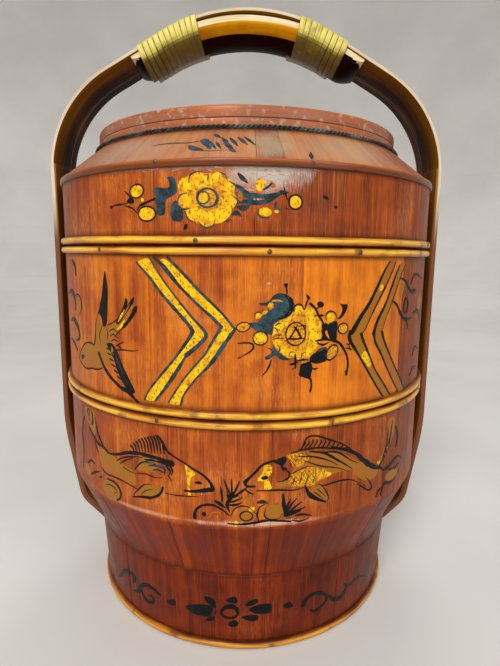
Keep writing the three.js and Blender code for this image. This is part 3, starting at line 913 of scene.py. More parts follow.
@dataclass(frozen=True)
class PolishedCulm:
    """The grip's half culm: its skin is worn smooth and golden, its cut rims are cream, and its underside
    takes painted shade.
    """

    name: str = "polished bamboo skin"
    skin: str = "#d8920f"
    deep: str = "#7c4208"
    # The near-black of the underside is painted shade.
    under: str = "#1f0b05"
    rim: str = "#e9dcb4"
    rim_fibre: str = "#b88f50"
    fibre_width: float = 0.7
    fibre_length: float = 45

    def make(self) -> Material:
        """Builds the material. A face's number is 0 on the underside, which takes painted shade, 0.5 on the
        lit gold flank, 1 on the rim.
        """
        material, tree = new_finish(self.name)
        fibres = streaks(tree, self.fibre_width, self.fibre_length, 3)
        stains = patches(tree, self.fibre_length / 2)
        skin = mixed(tree, self.skin, self.deep, fibres, 0.48, 0.75, 0.6)
        skin = mixed(tree, skin, self.deep, stains, 0.5, 0.75, 0.6)
        rim = mixed(tree, self.rim, self.rim_fibre, fibres, 0.42, 0.7, 0.8)
        part = face_value(tree)
        # Painted shade on the underside, with the gold skin on the lit flank.
        colour = mixed(tree, self.under, skin, part, 0.0, 0.5)
        colour = mixed(tree, colour, rim, part, 0.6, 0.9)
        end_finish(
            tree, {"IOR": 1.5, "Specular IOR Level": 0.02, "Roughness": 0.4},
            {"Base Color": colour, "Normal": relief(tree, fibres, depth=0.08, strength=0.35)},
        )
        return material


@dataclass(frozen=True)
class Rattan:
    """Peeled rattan, pale and satin, with long fibres and browned edges, and painted shade on the low part of
    each turn.
    """

    name: str = "peeled rattan"
    half_width: float = 1.9
    pale: str = "#e0d264"
    fibre: str = "#a89028"
    edge: str = "#6b4d16"
    stain: str = "#8a6a1c"
    # Colour of the painted shade on the low part of each turn.
    under: str = "#45350f"
    fibre_width: float = 0.45
    fibre_length: float = 30

    def make(self) -> Material:
        """Builds the material."""
        material, tree = new_finish(self.name)
        fibres = streaks(tree, self.fibre_width, self.fibre_length, 3)
        stains = patches(tree, self.fibre_length / 3)
        half = self.half_width * MM
        _, across = off_middle(tree)
        colour = mixed(tree, self.pale, self.fibre, fibres, 0.42, 0.72, 0.85)
        colour = mixed(tree, colour, self.stain, stains, 0.52, 0.78, 0.65)
        colour = mixed(tree, colour, self.edge, across, half * 0.8, half, 0.8)
        # Painted shade, broken by the stains: faces that lie low under the grip darken.
        painted_underside_shade = face_value(tree)
        colour = mixed(tree, colour, self.under, added(tree, painted_underside_shade, stains, 1.1), 0.1, 0.9, 0.85)
        end_finish(
            tree, {"IOR": 1.48, "Roughness": 0.42},
            {"Base Color": colour, "Normal": relief(tree, fibres, depth=0.1, strength=0.5)},
        )
        return material


@dataclass(frozen=True)
class WaxedCord:
    """Hemp cord, twisted and waxed: green-black in the lay, dusty where it stands proud."""

    name: str = "waxed hemp cord"
    dark: str = "#121d18"
    dust: str = "#5f7064"
    yarn: float = 0.5
    dust_size: float = 12

    def make(self) -> Material:
        """Builds the material."""
        material, tree = new_finish(self.name)
        fibres = patches(tree, self.yarn)
        dust = added(tree, patches(tree, self.dust_size), fibres, 0.5)
        end_finish(
            tree, {"IOR": 1.45, "Roughness": 0.62},
            {
                "Base Color": mixed(tree, self.dark, self.dust, dust, 0.45, 0.72),
                "Normal": relief(tree, fibres, depth=0.15, strength=0.6),
            },
        )
        return material


@dataclass(frozen=True)
class ForgedIron:
    """Hand-forged iron nail heads: dark, hammered, with rust in the hollows and rubbed high spots."""

    name: str = "forged iron"
    metal: str = "#55504a"
    rust: str = "#5b3218"
    hammer: float = 1.6

    def make(self) -> Material:
        """Builds the material."""
        material, tree = new_finish(self.name)
        dents = patches(tree, self.hammer)
        rust = patches(tree, self.hammer * 2)
        limits = {"From Min": 0.45, "From Max": 0.62, "To Min": 1, "To Max": 0}
        bare = add_node(tree, "ShaderNodeMapRange", values=limits, links={"Value": rust})
        end_finish(
            tree, {"Roughness": 0.42},
            {
                "Base Color": mixed(tree, self.metal, self.rust, rust, 0.45, 0.62),
                "Metallic": bare.outputs[0], "Normal": relief(tree, dents, depth=0.25, strength=0.6),
            },
        )
        return material


@dataclass(frozen=True)
class BareWood:
    """Planed softwood that never had a finish: matt and pale, with the year rings as lines."""

    name: str = "planed softwood"
    pale: str = "#b98a58"
    line: str = "#7c5229"
    stain: str = "#8a6238"
    ring: float = 2.5
    length: float = 160

    def make(self) -> Material:
        """Builds the material."""
        material, tree = new_finish(self.name)
        rings = streaks(tree, self.ring, self.length, 4)
        stains = patches(tree, self.length / 3)
        colour = mixed(tree, self.pale, self.line, rings, 0.45, 0.7, 0.85)
        end_finish(
            tree, {"IOR": 1.45, "Roughness": 0.68},
            {
                "Base Color": mixed(tree, colour, self.stain, stains, 0.45, 0.75, 0.7),
                "Normal": relief(tree, rings, depth=0.12, strength=0.4),
            },
        )
        return material


@dataclass(frozen=True)
class LacquerPaint:
    """Oil lacquer laid on with a brush: it stands proud with a gloss, and its thin places are rubbed."""

    name: str
    body: str
    thin: str
    rubbed: str
    wear: float
    # A brush's hairs leave lines about 0.2 mm wide. They are drawn coarser, so that they show.
    hair: float = 0.5
    patch: float = 4.5

    def make(self) -> Material:
        """Builds the material."""
        material, tree = new_finish(self.name)
        hairs = streaks(tree, self.hair, self.hair * 9, 3)
        thin = patches(tree, self.patch)
        rubbed = added(tree, patches(tree, self.patch / 3), hairs, 0.5)
        colour = mixed(tree, self.body, self.thin, thin, 0.42, 0.72)
        end_finish(
            tree, {"IOR": 1.5, "Specular IOR Level": 0.14, "Roughness": 0.38},
            {
                "Base Color": mixed(tree, colour, self.rubbed, rubbed, self.wear, self.wear + 0.12, 0.85),
                "Normal": relief(tree, hairs, depth=0.1, strength=0.5),
            },
        )
        return material


def corners_of(node: str) -> tuple[Vector, Vector]:
    """Reads the lowest and the highest corner of a plain solid, in millimetres.

    Args:
        node: The plain solid.

    Returns:
        Both corners.
    """
    low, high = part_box(node)
    return Vector(low) / MM, Vector(high) / MM


class Extent(NamedTuple):
    """How low, how high and how far out a plain solid reaches."""

    low: float
    high: float
    radius: float


def extent(node: str) -> Extent:
    """Reads how far a plain solid reaches.

    Args:
        node: The plain solid.

    Returns:
        Its lowest and highest point over the table, and its outer radius.
    """
    low, high = corners_of(node)
    return Extent(low.z, high.z, high.x)


@dataclass
class StaveWall:
    """A coopered wall of separate staves.

    Attributes:
        name: The piece's name.
        section: The wall's closed outline as (radius, height).
        seams: Degrees between two staves, from the smallest to the greatest.
        tones: How bright each stave is, from 0 to 1. The stave that ends at a seam has that seam's place.
        radius: Radius at which the pattern has its true size.
        insets: How far each stave's face lies back from the true circle.
    """

    name: str
    section: list[Point]
    seams: Numbers
    tones: Numbers
    radius: float
    insets: list[float] = field(init=False)
    gap: float = 0.08
    edge_round: float = 0.25
    deepest_inset: float = 0.22
    wave: float = 0.14
    wave_length: float = 55
    sway: float = 0.35
    sway_length: float = 70
    inner_tone: float = 0.3

    def __post_init__(self) -> None:
        """Draws each stave's inset."""
        draw = random.Random(self.name)
        self.insets = [draw.uniform(0, self.deepest_inset) for _ in self.seams]

    def stave_at(self, angle: float) -> int:
        """Finds the place of the stave at an angle."""
        return sum(seam <= angle for seam in self.seams) % len(self.seams)

    def shift(self, angle: float, height: float) -> float:
        """Finds how far the wall's face stands off the true circle.

        Args:
            angle: Degrees from the front.
            height: Distance above the table.

        Returns:
            The distance, positive outwards.
        """
        wave = noise.noise(place(angle, self.radius, height) / (self.wave_length * MM))
        return wave * self.wave - self.wave / 2 - self.insets[self.stave_at(angle)]

    def build(self) -> Object:
        """Builds the wall with its maps."""
        gap_angle = math.degrees(self.gap / 2 / self.radius)
        section = divided(self.section, self.wave_length / 6)
        following = [*self.seams[1:], self.seams[0] + FULL_TURN]
        for seam, after in zip(self.seams, following):
            add_section(self.name, section, seam + gap_angle)
            spin_selected(after - seam - 2 * gap_angle)
        deselect_all()
        bpy.ops.mesh.select_mode(type="FACE")
        shape = bmesh.from_edit_mesh(bpy.context.edit_object.data)
        for face in shape.faces:
            face.select = len(face.verts) == len(section)
        bmesh.update_edit_mesh(bpy.context.edit_object.data)
        bpy.ops.mesh.bevel(offset=self.edge_round * MM, segments=2)
        wall = finish_piece(weld=0.001)
        lay_turned_map(wall, self.radius, self.seams)
        tones = []
        for polygon in wall.data.polygons:
            x, y = polygon.center.x, polygon.center.y
            looks_out = polygon.normal.x * x + polygon.normal.y * y > 0
            stave = self.stave_at(math.degrees(math.atan2(x, -y)))
            tones.append(self.tones[stave] if looks_out else self.inner_tone)
        set_face_values(wall, TONE, tones)

        def uneven(angle: float, radius: float, height: float) -> Corner:
            """Sets a vertex off by its stave's inset, the wave of its face and the sway of its seams."""
            sway = noise.noise(place(angle, self.radius, height) / (self.sway_length * MM)) * self.sway
            return angle + math.degrees(sway / self.radius), radius + self.shift(angle, height), height

        move_vertices(wall, uneven)
        return wall


@dataclass
class HoopStrip:
    """A split-bamboo strip bent round a wall and butted or scarfed where its ends meet.

    Attributes:
        node: The plain solid that it stands for, whose place and height it has.
        back: Radius of its flat back.
        joint: Degrees where its ends meet.
        slant: How far the joint leans, along the strip, over the strip's height.
        nodes: Degrees at which the culm's node scars cross it.
    """

    node: str
    back: float
    joint: float
    slant: float
    nodes: Sequence[float]
    roundness: float = 0.55
    gap: float = 0.35
    sway: float = 0.22
    sway_length: float = 60
    scar_rise: float = 0.22
    scar_length: float = 1.6
    joint_reach: float = 12
    back_depth: float = 0.1

    def build(self) -> Object:
        """Builds the strip with its map."""
        low, high, face = extent(self.node)
        middle, half = (low + high) / 2, (high - low) / 2
        steps = 10
        section = []
        for k in range(steps + 1):
            turn = math.pi * k / steps
            proud = (face - self.back - self.scar_rise) * math.sin(turn) ** self.roundness
            section.append((self.back + proud, middle - (half - self.sway) * math.cos(turn)))
        gap_angle = math.degrees(self.gap / 2 / face)
        add_section(f"{self.node}_strip", section, self.joint + gap_angle)
        spin_selected(FULL_TURN - 2 * gap_angle)
        strip = finish_piece(45)
        corner, facing = corners_and_middles(strip.data)
        turn = np.arctan2(corner[:, 0], -corner[:, 1]) - math.radians(self.joint)
        around = np.arctan2(facing[:, 0], -facing[:, 1]) - math.radians(self.joint)
        around %= 2 * np.pi
        turn = (turn - around + np.pi) % (2 * np.pi) - np.pi + around
        lay_map(strip, corner[:, 2] - middle, turn * face)

        def nearness(angle: float, centre: float, reach: float) -> float:
            """Falls from 1 at a place round the strip to nothing well past its reach."""
            away = ((angle - centre + 540) % 360 - 180) * math.pi * face / 180
            return math.exp(-((away / reach) ** 2))

        def uneven(angle: float, radius: float, height: float) -> Corner:
            """Sways the strip, raises its node scars and slants the joint."""
            lean = self.slant * (height - middle) / half / 2 * nearness(angle, self.joint, self.joint_reach)
            swayed = noise.noise(place(angle, face, low) / (self.sway_length * MM)) * self.sway
            rise = 0.0
            for scar in self.nodes:
                rise += self.scar_rise * nearness(angle, scar, self.scar_length)
            lies_out = radius > self.back + self.back_depth
            return angle + math.degrees(lean / face), radius + rise * lies_out, height + swayed

        move_vertices(strip, uneven)
        return strip


TIER_RADIUS = extent("lower_tier_wall").radius
WALL_THICKNESS = 8.0
SEAT_GAP = 0.3
TUCK = 0.35


@dataclass
class Foot:
    """The foot ring of upright staves, a little narrower at its bottom, with a hoop round its lower edge."""

    thickness: float = 9
    flare: float = 4.2
    ease: float = 1.5
    seams: Numbers = (-170, -146, -121, -95, -70, -44, -18, 7.2, 33, 60, 84, 112, 137, 161)
    tones: Numbers = (.3, .25, .35, .3, .28, .34, .38, .34, .3, .26, .25, .32, .25, .3)

    def radius_at(self, height: float) -> float:
        """Finds the outer radius at a height."""
        _, top, radius = extent("foot_ring")
        return radius - self.flare * (1 - height / top)

    def build(self) -> StaveWall:
        """Builds the foot's pieces.

        Returns:
            The wall that the brushwork lies on.
        """
        top = extent("foot_ring").high
        bottom = self.radius_at(0)
        section = rounded([
            (bottom, 0, self.ease), (self.radius_at(top), top, self.ease / 3),
            (self.radius_at(top) - self.thickness, top), (bottom - self.thickness, 0, self.ease),
        ], EASE_STEP)
        wall = StaveWall("foot_staves", section, self.seams, self.tones, self.radius_at(top / 2))
        low = extent("foot_hoop").high
        # The whole foot is darkened with painted shade.
        finish = LacqueredStaves(
            "shellacked foot staves", low, top, deep="#c8a086", painted_shade_from=top, painted_shade_to=top - 1
        )
        dress(wall.build(), finish.make(), Body.LOWER_TIER, Slot.LACQUER, "foot_ring")
        hoop = HoopStrip("foot_hoop", self.radius_at(low) - TUCK, 64, 9, [-112, -61, -14, 38, 95, 160])
        bamboo = SplitBamboo("split bamboo, foot hoop", 2.7, skin="#e0a22a", streak="#8a4a16", edge="#3f1c0a")
        dress(hoop.build(), bamboo.make(), Body.LOWER_TIER, Slot.HOOP, "foot_hoop")
        return wall


@dataclass
class LowerTier:
    """The lower tier: staves that run down over a rounded ridge and a bevel to the foot."""

    bevel_height: float = 47.5
    ridge_round: float = 12
    cove_round: float = 20
    rim_ease: float = 1.2
    ledge_width: float = 10
    lip_thickness: float = 3
    seams: Numbers = (-168, -143, -112, -78, -42.9, -19.1, 2.5, 6.6, 41, 68, 97, 124, 151)
    tones: Numbers = (.4, .35, .45, .35, .38, .48, .52, .54, .42, .3, .3, .4, .4)

    def build(self, hoop_bamboo: Material, wood: Material) -> StaveWall:
        """Builds the lower tier's pieces.

        Args:
            hoop_bamboo: Finish of its hoop.
            wood: Finish of its floor and lip.

        Returns:
            The wall that the brushwork lies on.
        """
        bottom, top, _ = extent("lower_tier_wall")
        floor_base, floor_top, floor_radius = extent("lower_tier_floor")
        foot = extent("foot_ring").radius
        ridge = bottom + self.bevel_height
        lean = math.atan((TIER_RADIUS - foot) / self.bevel_height)
        inner = TIER_RADIUS - WALL_THICKNESS
        cove, steps = [], 5
        for k in range(steps + 1):
            turn = lean * k / steps
            out, up = self.cove_round * (1 - math.cos(turn)), self.cove_round * math.sin(turn)
            cove.append((foot + out, bottom + up))
        floor_base -= SEAT_GAP
        seat, ledge = floor_radius + TUCK, floor_radius - self.ledge_width
        section = rounded([
            *cove, (TIER_RADIUS, ridge, self.ridge_round), (TIER_RADIUS, top, self.rim_ease),
            (inner, top, self.rim_ease), (inner, ridge + WALL_THICKNESS * math.tan(lean / 2)),
            (seat, floor_top), (seat, floor_base), (ledge, floor_base), (ledge, bottom),
        ], 5.6)
        wall = StaveWall("lower_tier_staves", section, self.seams, self.tones, TIER_RADIUS)
        # Painted highlights along the rounded ridge.
        worn = (((12, -140, ridge + 2.2), (46, 60, 2.4), 0.7), ((-62, -128, ridge + 2.4), (44, 60, 1.6), 0.4))
        # Painted shade on the bevel, which faces down under the ridge.
        finish = LacqueredStaves(
            "shellacked lower staves", bottom, extent("lower_tier_hoop").low, deep="#c09058",
            painted_shade_from=ridge + 2, painted_shade_to=ridge - 3, wear_and_sheen_haze="#e2b49a", wear_and_sheen_hazes=worn,
        )
        dress(wall.build(), finish.make(), Body.LOWER_TIER, Slot.LACQUER, "lower_tier_wall")
        hoop = HoopStrip("lower_tier_hoop", TIER_RADIUS - TUCK, 21.5, 0.6, [-151, -97, -33, 58, 118], gap=1.1)
        dress(hoop.build(), hoop_bamboo, Body.LOWER_TIER, Slot.HOOP, "lower_tier_hoop")
        build_lip("lower_tier_lip", self.lip_thickness, Body.LOWER_TIER, wood)
        return wall


@dataclass
class MiddleTier:
    """The middle tier: a plain round wall between two hoops."""

    rim_ease: float = 1.2
    groove_depth: float = 3
    mouth_gap: float = 0.6
    lip_thickness: float = 3
    seams: Numbers = (-171, -149, -118, -94, -66, -40.1, -23.4, 13.25, 45.6, 74, 99, 131, 158)
    tones: Numbers = (.42, .35, .45, .3, .22, .62, .62, .62, .85, .3, .25, .42, .4)

    def build(self, hoop_bamboo: Material, wood: Material) -> StaveWall:
        """Builds the middle tier's pieces.

        Args:
            hoop_bamboo: Finish of its hoops.
            wood: Finish of its floor and lip.

        Returns:
            The wall that the brushwork lies on.
        """
        bottom, top, _ = extent("middle_tier_wall")
        floor_base, floor_top, _ = extent("middle_tier_floor")
        inner = TIER_RADIUS - WALL_THICKNESS
        groove = inner + self.groove_depth
        section = rounded([
            (TIER_RADIUS, bottom, self.rim_ease), (TIER_RADIUS, top, self.rim_ease),
            (inner, top, self.rim_ease), (inner, floor_top + SEAT_GAP), (groove, floor_top + SEAT_GAP),
            (groove, floor_base - SEAT_GAP), (inner + self.mouth_gap, floor_base - SEAT_GAP),
            (inner + self.mouth_gap, bottom),
        ], EASE_STEP)
        wall = StaveWall("middle_tier_staves", section, self.seams, self.tones, TIER_RADIUS)
        low, high = extent("middle_tier_bottom_hoop").high, extent("middle_tier_top_hoop").low
        finish = LacqueredStaves("shellacked middle staves", low, high)
        dress(wall.build(), finish.make(), Body.MIDDLE_TIER, Slot.LACQUER, "middle_tier_wall")
        back = TIER_RADIUS - TUCK
        for hoop in (
            HoopStrip("middle_tier_bottom_hoop", back, -72, 8, [-160, -104, -48, 3.5, 49, 112]),
            HoopStrip("middle_tier_top_hoop", back, 39.7, 8, [-138, -79, -37, 5.1, 27.2, 84, 150]),
        ):
            dress(hoop.build(), hoop_bamboo, Body.MIDDLE_TIER, Slot.HOOP, hoop.node)
        build_lip("middle_tier_lip", self.lip_thickness, Body.MIDDLE_TIER, wood)
        return wall


def turn_grain(ring: Object, radius: float, height: float) -> None:
    """Lays a ring's grain round it: the map's first value is then the height over the ring's middle.

    Args:
        ring: The ring.
        radius: Its outer radius.
        height: Its middle's height.
    """
    lay_turned_map(ring, radius)
    for loop in ring.data.uv_layers[GRAIN].data:
        loop.uv = (loop.uv.y - height * MM + radius * MM, loop.uv.x)


def build_planks(node: str, name: str, finish: Material, body: Body, slot: Slot) -> None:
    """Builds a round board of a few planks.

    Args:
        node: The plain solid that it stands for.
        name: The piece's name.
        finish: Its finish.
        body: What it moves with.
        slot: What it is made of.
    """
    count, gap, ease, drawn_apart = 5, 0.5, 0.5, 97
    low, high, radius = extent(node)
    width = 2 * radius / count
    planks = []
    for k in range(count):
        deselect_all()
        bpy.ops.mesh.primitive_cylinder_add(
            vertices=144, radius=radius * MM, depth=(high - low) * MM, location=(0, 0, (high + low) / 2 * MM)
        )
        plank = bpy.context.object
        bpy.ops.object.transform_apply(location=True)
        bpy.ops.object.mode_set(mode="EDIT")
        for edge, way in ((k, -1), (k + 1, 1)):
            if 0 < edge < count:
                bpy.ops.mesh.select_all(action="SELECT")
                cut = Vector((-radius + edge * width - way * gap / 2, 0, 0)) * MM
                bpy.ops.mesh.bisect(plane_co=cut, plane_no=(way, 0, 0), use_fill=True, clear_outer=True)
        bpy.ops.mesh.select_all(action="SELECT")
        bpy.ops.mesh.normals_make_consistent(inside=False)
        bpy.ops.object.mode_set(mode="OBJECT")
        ease_edges(plank, ease, 40)
        planks.append(plank)
    board = joined(planks)
    board.name = name
    shade_smooth(board, 35)
    corner, middle = corners_and_middles(board.data)
    index = np.floor((middle[:, 0] + radius) / width)
    lay_map(board, corner[:, 0] + index * PATTERN_SHIFT, corner[:, 1] + index * drawn_apart)
    draw = random.Random(name)
    darkest, brightest = 0.35, 0.6
    tones = [draw.uniform(darkest, brightest) for _ in range(count)]
    places = [math.floor((p.center.x / MM + radius) / width) for p in board.data.polygons]
    set_face_values(board, TONE, [tones[min(max(k, 0), count - 1)] for k in places])
    dress(board, finish, body, slot, node)


def build_hoop_nails(node: str, places: Sequence[Point], body: Body, finish: Material) -> None:
    """Builds the small nails that hold a hoop.

    Args:
        node: The hoop.
        places: Angle of each nail, and how far it sits above the hoop's middle.
        body: What the nails move with.
        finish: Their finish.
    """
    radius, flat_share, sunk = 1.5, 0.5, 0.3
    low, high, face = extent(node)
    middle = (low + high) / 2
    nails = []
    for angle, rise in places:
        deselect_all()
        bpy.ops.mesh.primitive_uv_sphere_add(segments=16, ring_count=8, radius=radius * MM)
        nail = bpy.context.object
        turn = Matrix.Rotation(math.radians(angle), 4, "Z") @ Matrix.Diagonal((1, flat_share, 1, 1))
        nail.data.transform(Matrix.Translation(place(angle, face - sunk, middle + rise)) @ turn)
        nails.append(nail)
    piece = joined(nails)
    piece.name = f"{node}_nails"
    shade_smooth(piece, 60)
    dress(piece, finish, body, Slot.IRON)


def build_lip(node: str, thickness: float, body: Body, wood: Material) -> None:
    """Builds a bent band inside a rim, which stands up into the mouth of the piece above.

    Args:
        node: The plain solid that it stands for.
        thickness: Its thickness.
        body: What it moves with.
        wood: Its finish.
    """
    lip_ease = 0.8
    low, high, radius = extent(node)
    ring = turned_ring(f"{node}_band", rounded([
        (radius + SEAT_GAP, low), (radius + SEAT_GAP, high, lip_ease),
        (radius - thickness, high, lip_ease), (radius - thickness, low),
    ], 30))
    turn_grain(ring, radius, (low + high) / 2)
    dress(ring, wood, body, Slot.WOOD, node)


@dataclass
class Lid:
    """The lid: a short wall, a sloping shoulder, and a collar of two bands with a cord at its foot."""

    shoulder_land: float = 2
    shoulder_thickness: float = 7
    shelf_width: float = 10
    collar_land: float = 2.2
    ply_share: float = 0.54
    cord_lay: float = 6.2
    wall_seams: Numbers = (-165, -140, -112, -84, -63, -43, -21.4, 2.2, 30.8, 52, 80, 108, 139, 163)
    # The two staves from -112 to -63 degrees, at the lid's left, are set darker as painted shade.
    wall_tones: Numbers = (.38, .42, .34, .26, .24, .33, .5, .48, .34, .36, .34, .3, .42, .36)
    shoulder_seams: Numbers = (-168, -141, -110, -86, -58, -30, 2.1, 8.5, 36, 61, 92, 118, 146)
    shoulder_tones: Numbers = (.5, .6, .4, .55, .45, .6, .8, .4, .9, .6, .45, .6, .5)

    def build(self, hoop_bamboo: Material, cord_finish: Material) -> tuple[StaveWall, StaveWall]:
        """Builds the lid's pieces.

        Args:
            hoop_bamboo: Finish of its hoop.
            cord_finish: Finish of its cord.

        Returns:
            The wall and the shoulder that the brushwork lies on.
        """
        wall = self.build_wall()
        hoop = HoopStrip("lid_hoop", TIER_RADIUS - TUCK, -30.3, -9, [-119, -66, -11.1, 34, 88, 141])
        dress(hoop.build(), hoop_bamboo, Body.LID, Slot.HOOP, "lid_hoop")
        self.build_edge_strip()
        shoulder = self.build_shoulder()
        self.build_collar()
        self.build_cord(cord_finish)
        return wall, shoulder

    def build_wall(self) -> StaveWall:
        """Builds the lid's wall."""
        mouth_gap, mouth_height, ease = 0.6, 10.5, 1.2
        bottom, top, _ = extent("lid_wall")
        inner = TIER_RADIUS - WALL_THICKNESS
        section = rounded([
            (TIER_RADIUS, bottom, ease), (TIER_RADIUS, top), (inner, top), (inner, bottom + mouth_height),
            (inner + mouth_gap, bottom + mouth_height), (inner + mouth_gap, bottom),
        ], EASE_STEP)
        wall = StaveWall("lid_wall_staves", section, self.wall_seams, self.wall_tones, TIER_RADIUS)
        # Whitish worn lacquer and a painted reflection at the top of the lid's wall.
        worn = (((13, -147, top - 5), (29, 60, 13), 0.8), ((-30, -145, top - 1), (60, 60, 3.5), 0.5))
        finish = LacqueredStaves(
            "shellacked lid staves", extent("lid_hoop").high, extent("lid_edge_strip").low, wear_and_sheen_hazes=worn
        )
        dress(wall.build(), finish.make(), Body.LID, Slot.LACQUER, "lid_wall")
        return wall

    def build_edge_strip(self) -> None:
        """Builds the thin strip that covers the joint between wall and shoulder."""
        ease, lean = 1.1, 1.2
        low, high, radius = extent("lid_edge_strip")
        back = TIER_RADIUS - TUCK
        ring = turned_ring("lid_edge_strip_band", rounded([
            (back, low), (radius, low, ease), (radius, high, ease), (back - lean, high),
        ], 15))
        turn_grain(ring, radius, (low + high) / 2)
        # The edge strip's lower part takes near-black painted shade.
        finish = SplitBamboo(
            "lacquered edge strip", 3.4, skin="#b05a1e", streak="#7c3410", edge="#2a1008", shade="#9a4816",
            lower="#120605", underside_shade_from=0.42,
        )
        dress(ring, finish.make(), Body.LID, Slot.LACQUER, "lid_edge_strip")

    def build_shoulder(self) -> StaveWall:
        """Builds the sloping shoulder."""
        outer_ease, inner_ease = 1.2, 3
        bottom, top, _ = extent("lid_shoulder")
        shelf = extent("lid_top_panel").radius - self.shelf_width
        flat = extent("lid_collar_band").radius + self.collar_land
        land = bottom + self.shoulder_land
        slope = (top - land) / (TIER_RADIUS - flat)
        inner = TIER_RADIUS - WALL_THICKNESS
        under = top - self.shoulder_thickness
        section = rounded([
            (TIER_RADIUS, bottom), (TIER_RADIUS, land, outer_ease), (flat, top, inner_ease), (shelf, top),
            (shelf, under),
            (inner - (under - bottom) / slope, under), (inner, bottom),
        ], 11)
        mean = (TIER_RADIUS + flat) / 2
        shoulder = StaveWall("lid_shoulder_staves", section, self.shoulder_seams, self.shoulder_tones, mean)
        # Greyish pale hazes at three places on the shoulder.
        worn = (
            ((-80, -115, top - 12), (45, 60, 14), 0.5), ((60, -110, top - 10), (40, 60, 12), 0.4),
            ((14, -128, top - 12), (16, 40, 14), 0.75),
        )
        finish = LacqueredStaves(
            "shellacked shoulder staves", bottom, top, middle="#9c5438", bright="#bc8052", wear_and_sheen_haze="#a89478",
            wear_and_sheen_hazes=worn,
        )
        dress(shoulder.build(), finish.make(), Body.LID, Slot.LACQUER, "lid_shoulder")
        return shoulder

    def build_collar(self) -> None:
        """Builds the collar's two bands and the planks of the top panel."""
        # The lower half of each collar ring takes a greyer painted shade.
        finish = SplitBamboo(
            "worn lacquer over bent bamboo", 8, skin="#a0603e", streak="#74402a", edge="#5c2c18",
            scar="#b09a86", shade="#b45c22", lower="#94604a", scar_length=1.9,
        ).make()
        thickness = 9
        for node, ease in (("lid_collar_band", 0.8), ("lid_collar_rim", 1.8)):
            low, high, radius = extent(node)
            ring = turned_ring(f"{node}_ring", rounded([
                (radius, low, ease / 2), (radius, high, ease),
                (radius - thickness, high, ease), (radius - thickness, low),
            ], 15))
            turn_grain(ring, radius, (low + high) / 2)
            dress(ring, finish, Body.LID, Slot.LACQUER, node)
        wood = LacqueredStaves("shellacked top panel", 0, 1000, middle="#9a5a30")
        build_planks("lid_top_panel", "lid_top_planks", wood.make(), Body.LID, Slot.LACQUER)

    def build_cord(self, finish: Material) -> None:
        """Builds the cord in the corner at the collar's foot: two plies laid round each other.

        Args:
            finish: The cord's finish.
        """
        low, high, outer = extent("lid_collar_cord")
        half, middle = (high - low) / 2, (low + high) / 2
        radius = outer - half
        lays = round(2 * math.pi * radius / self.cord_lay)
        steps, sides = lays * 10, 8
        ply = half * self.ply_share
        plies = []
        for index in range(2):
            rings = []
            for i in range(steps):
                turn = 2 * math.pi * i / steps
                twist = lays * turn + math.pi * index
                out, up = radius + (half - ply) * math.cos(twist), middle + (half - ply) * math.sin(twist)
                ring = []
                for k in range(sides):
                    around = 2 * math.pi * k / sides + twist
                    ring.append(
                        place(math.degrees(turn), out + ply * math.cos(around), up + ply * math.sin(around))
                    )
                rings.append(ring)
            across = [ply * 2 * math.pi * k / sides for k in range(sides + 1)]
            along = [radius * 2 * math.pi * i / steps for i in range(steps + 1)]
            plies.append(loft("lid_cord", rings, across, along, closed=True))
        cord = joined(plies)
        dress(cord, finish, Body.LID, Slot.CORD, "lid_collar_cord")


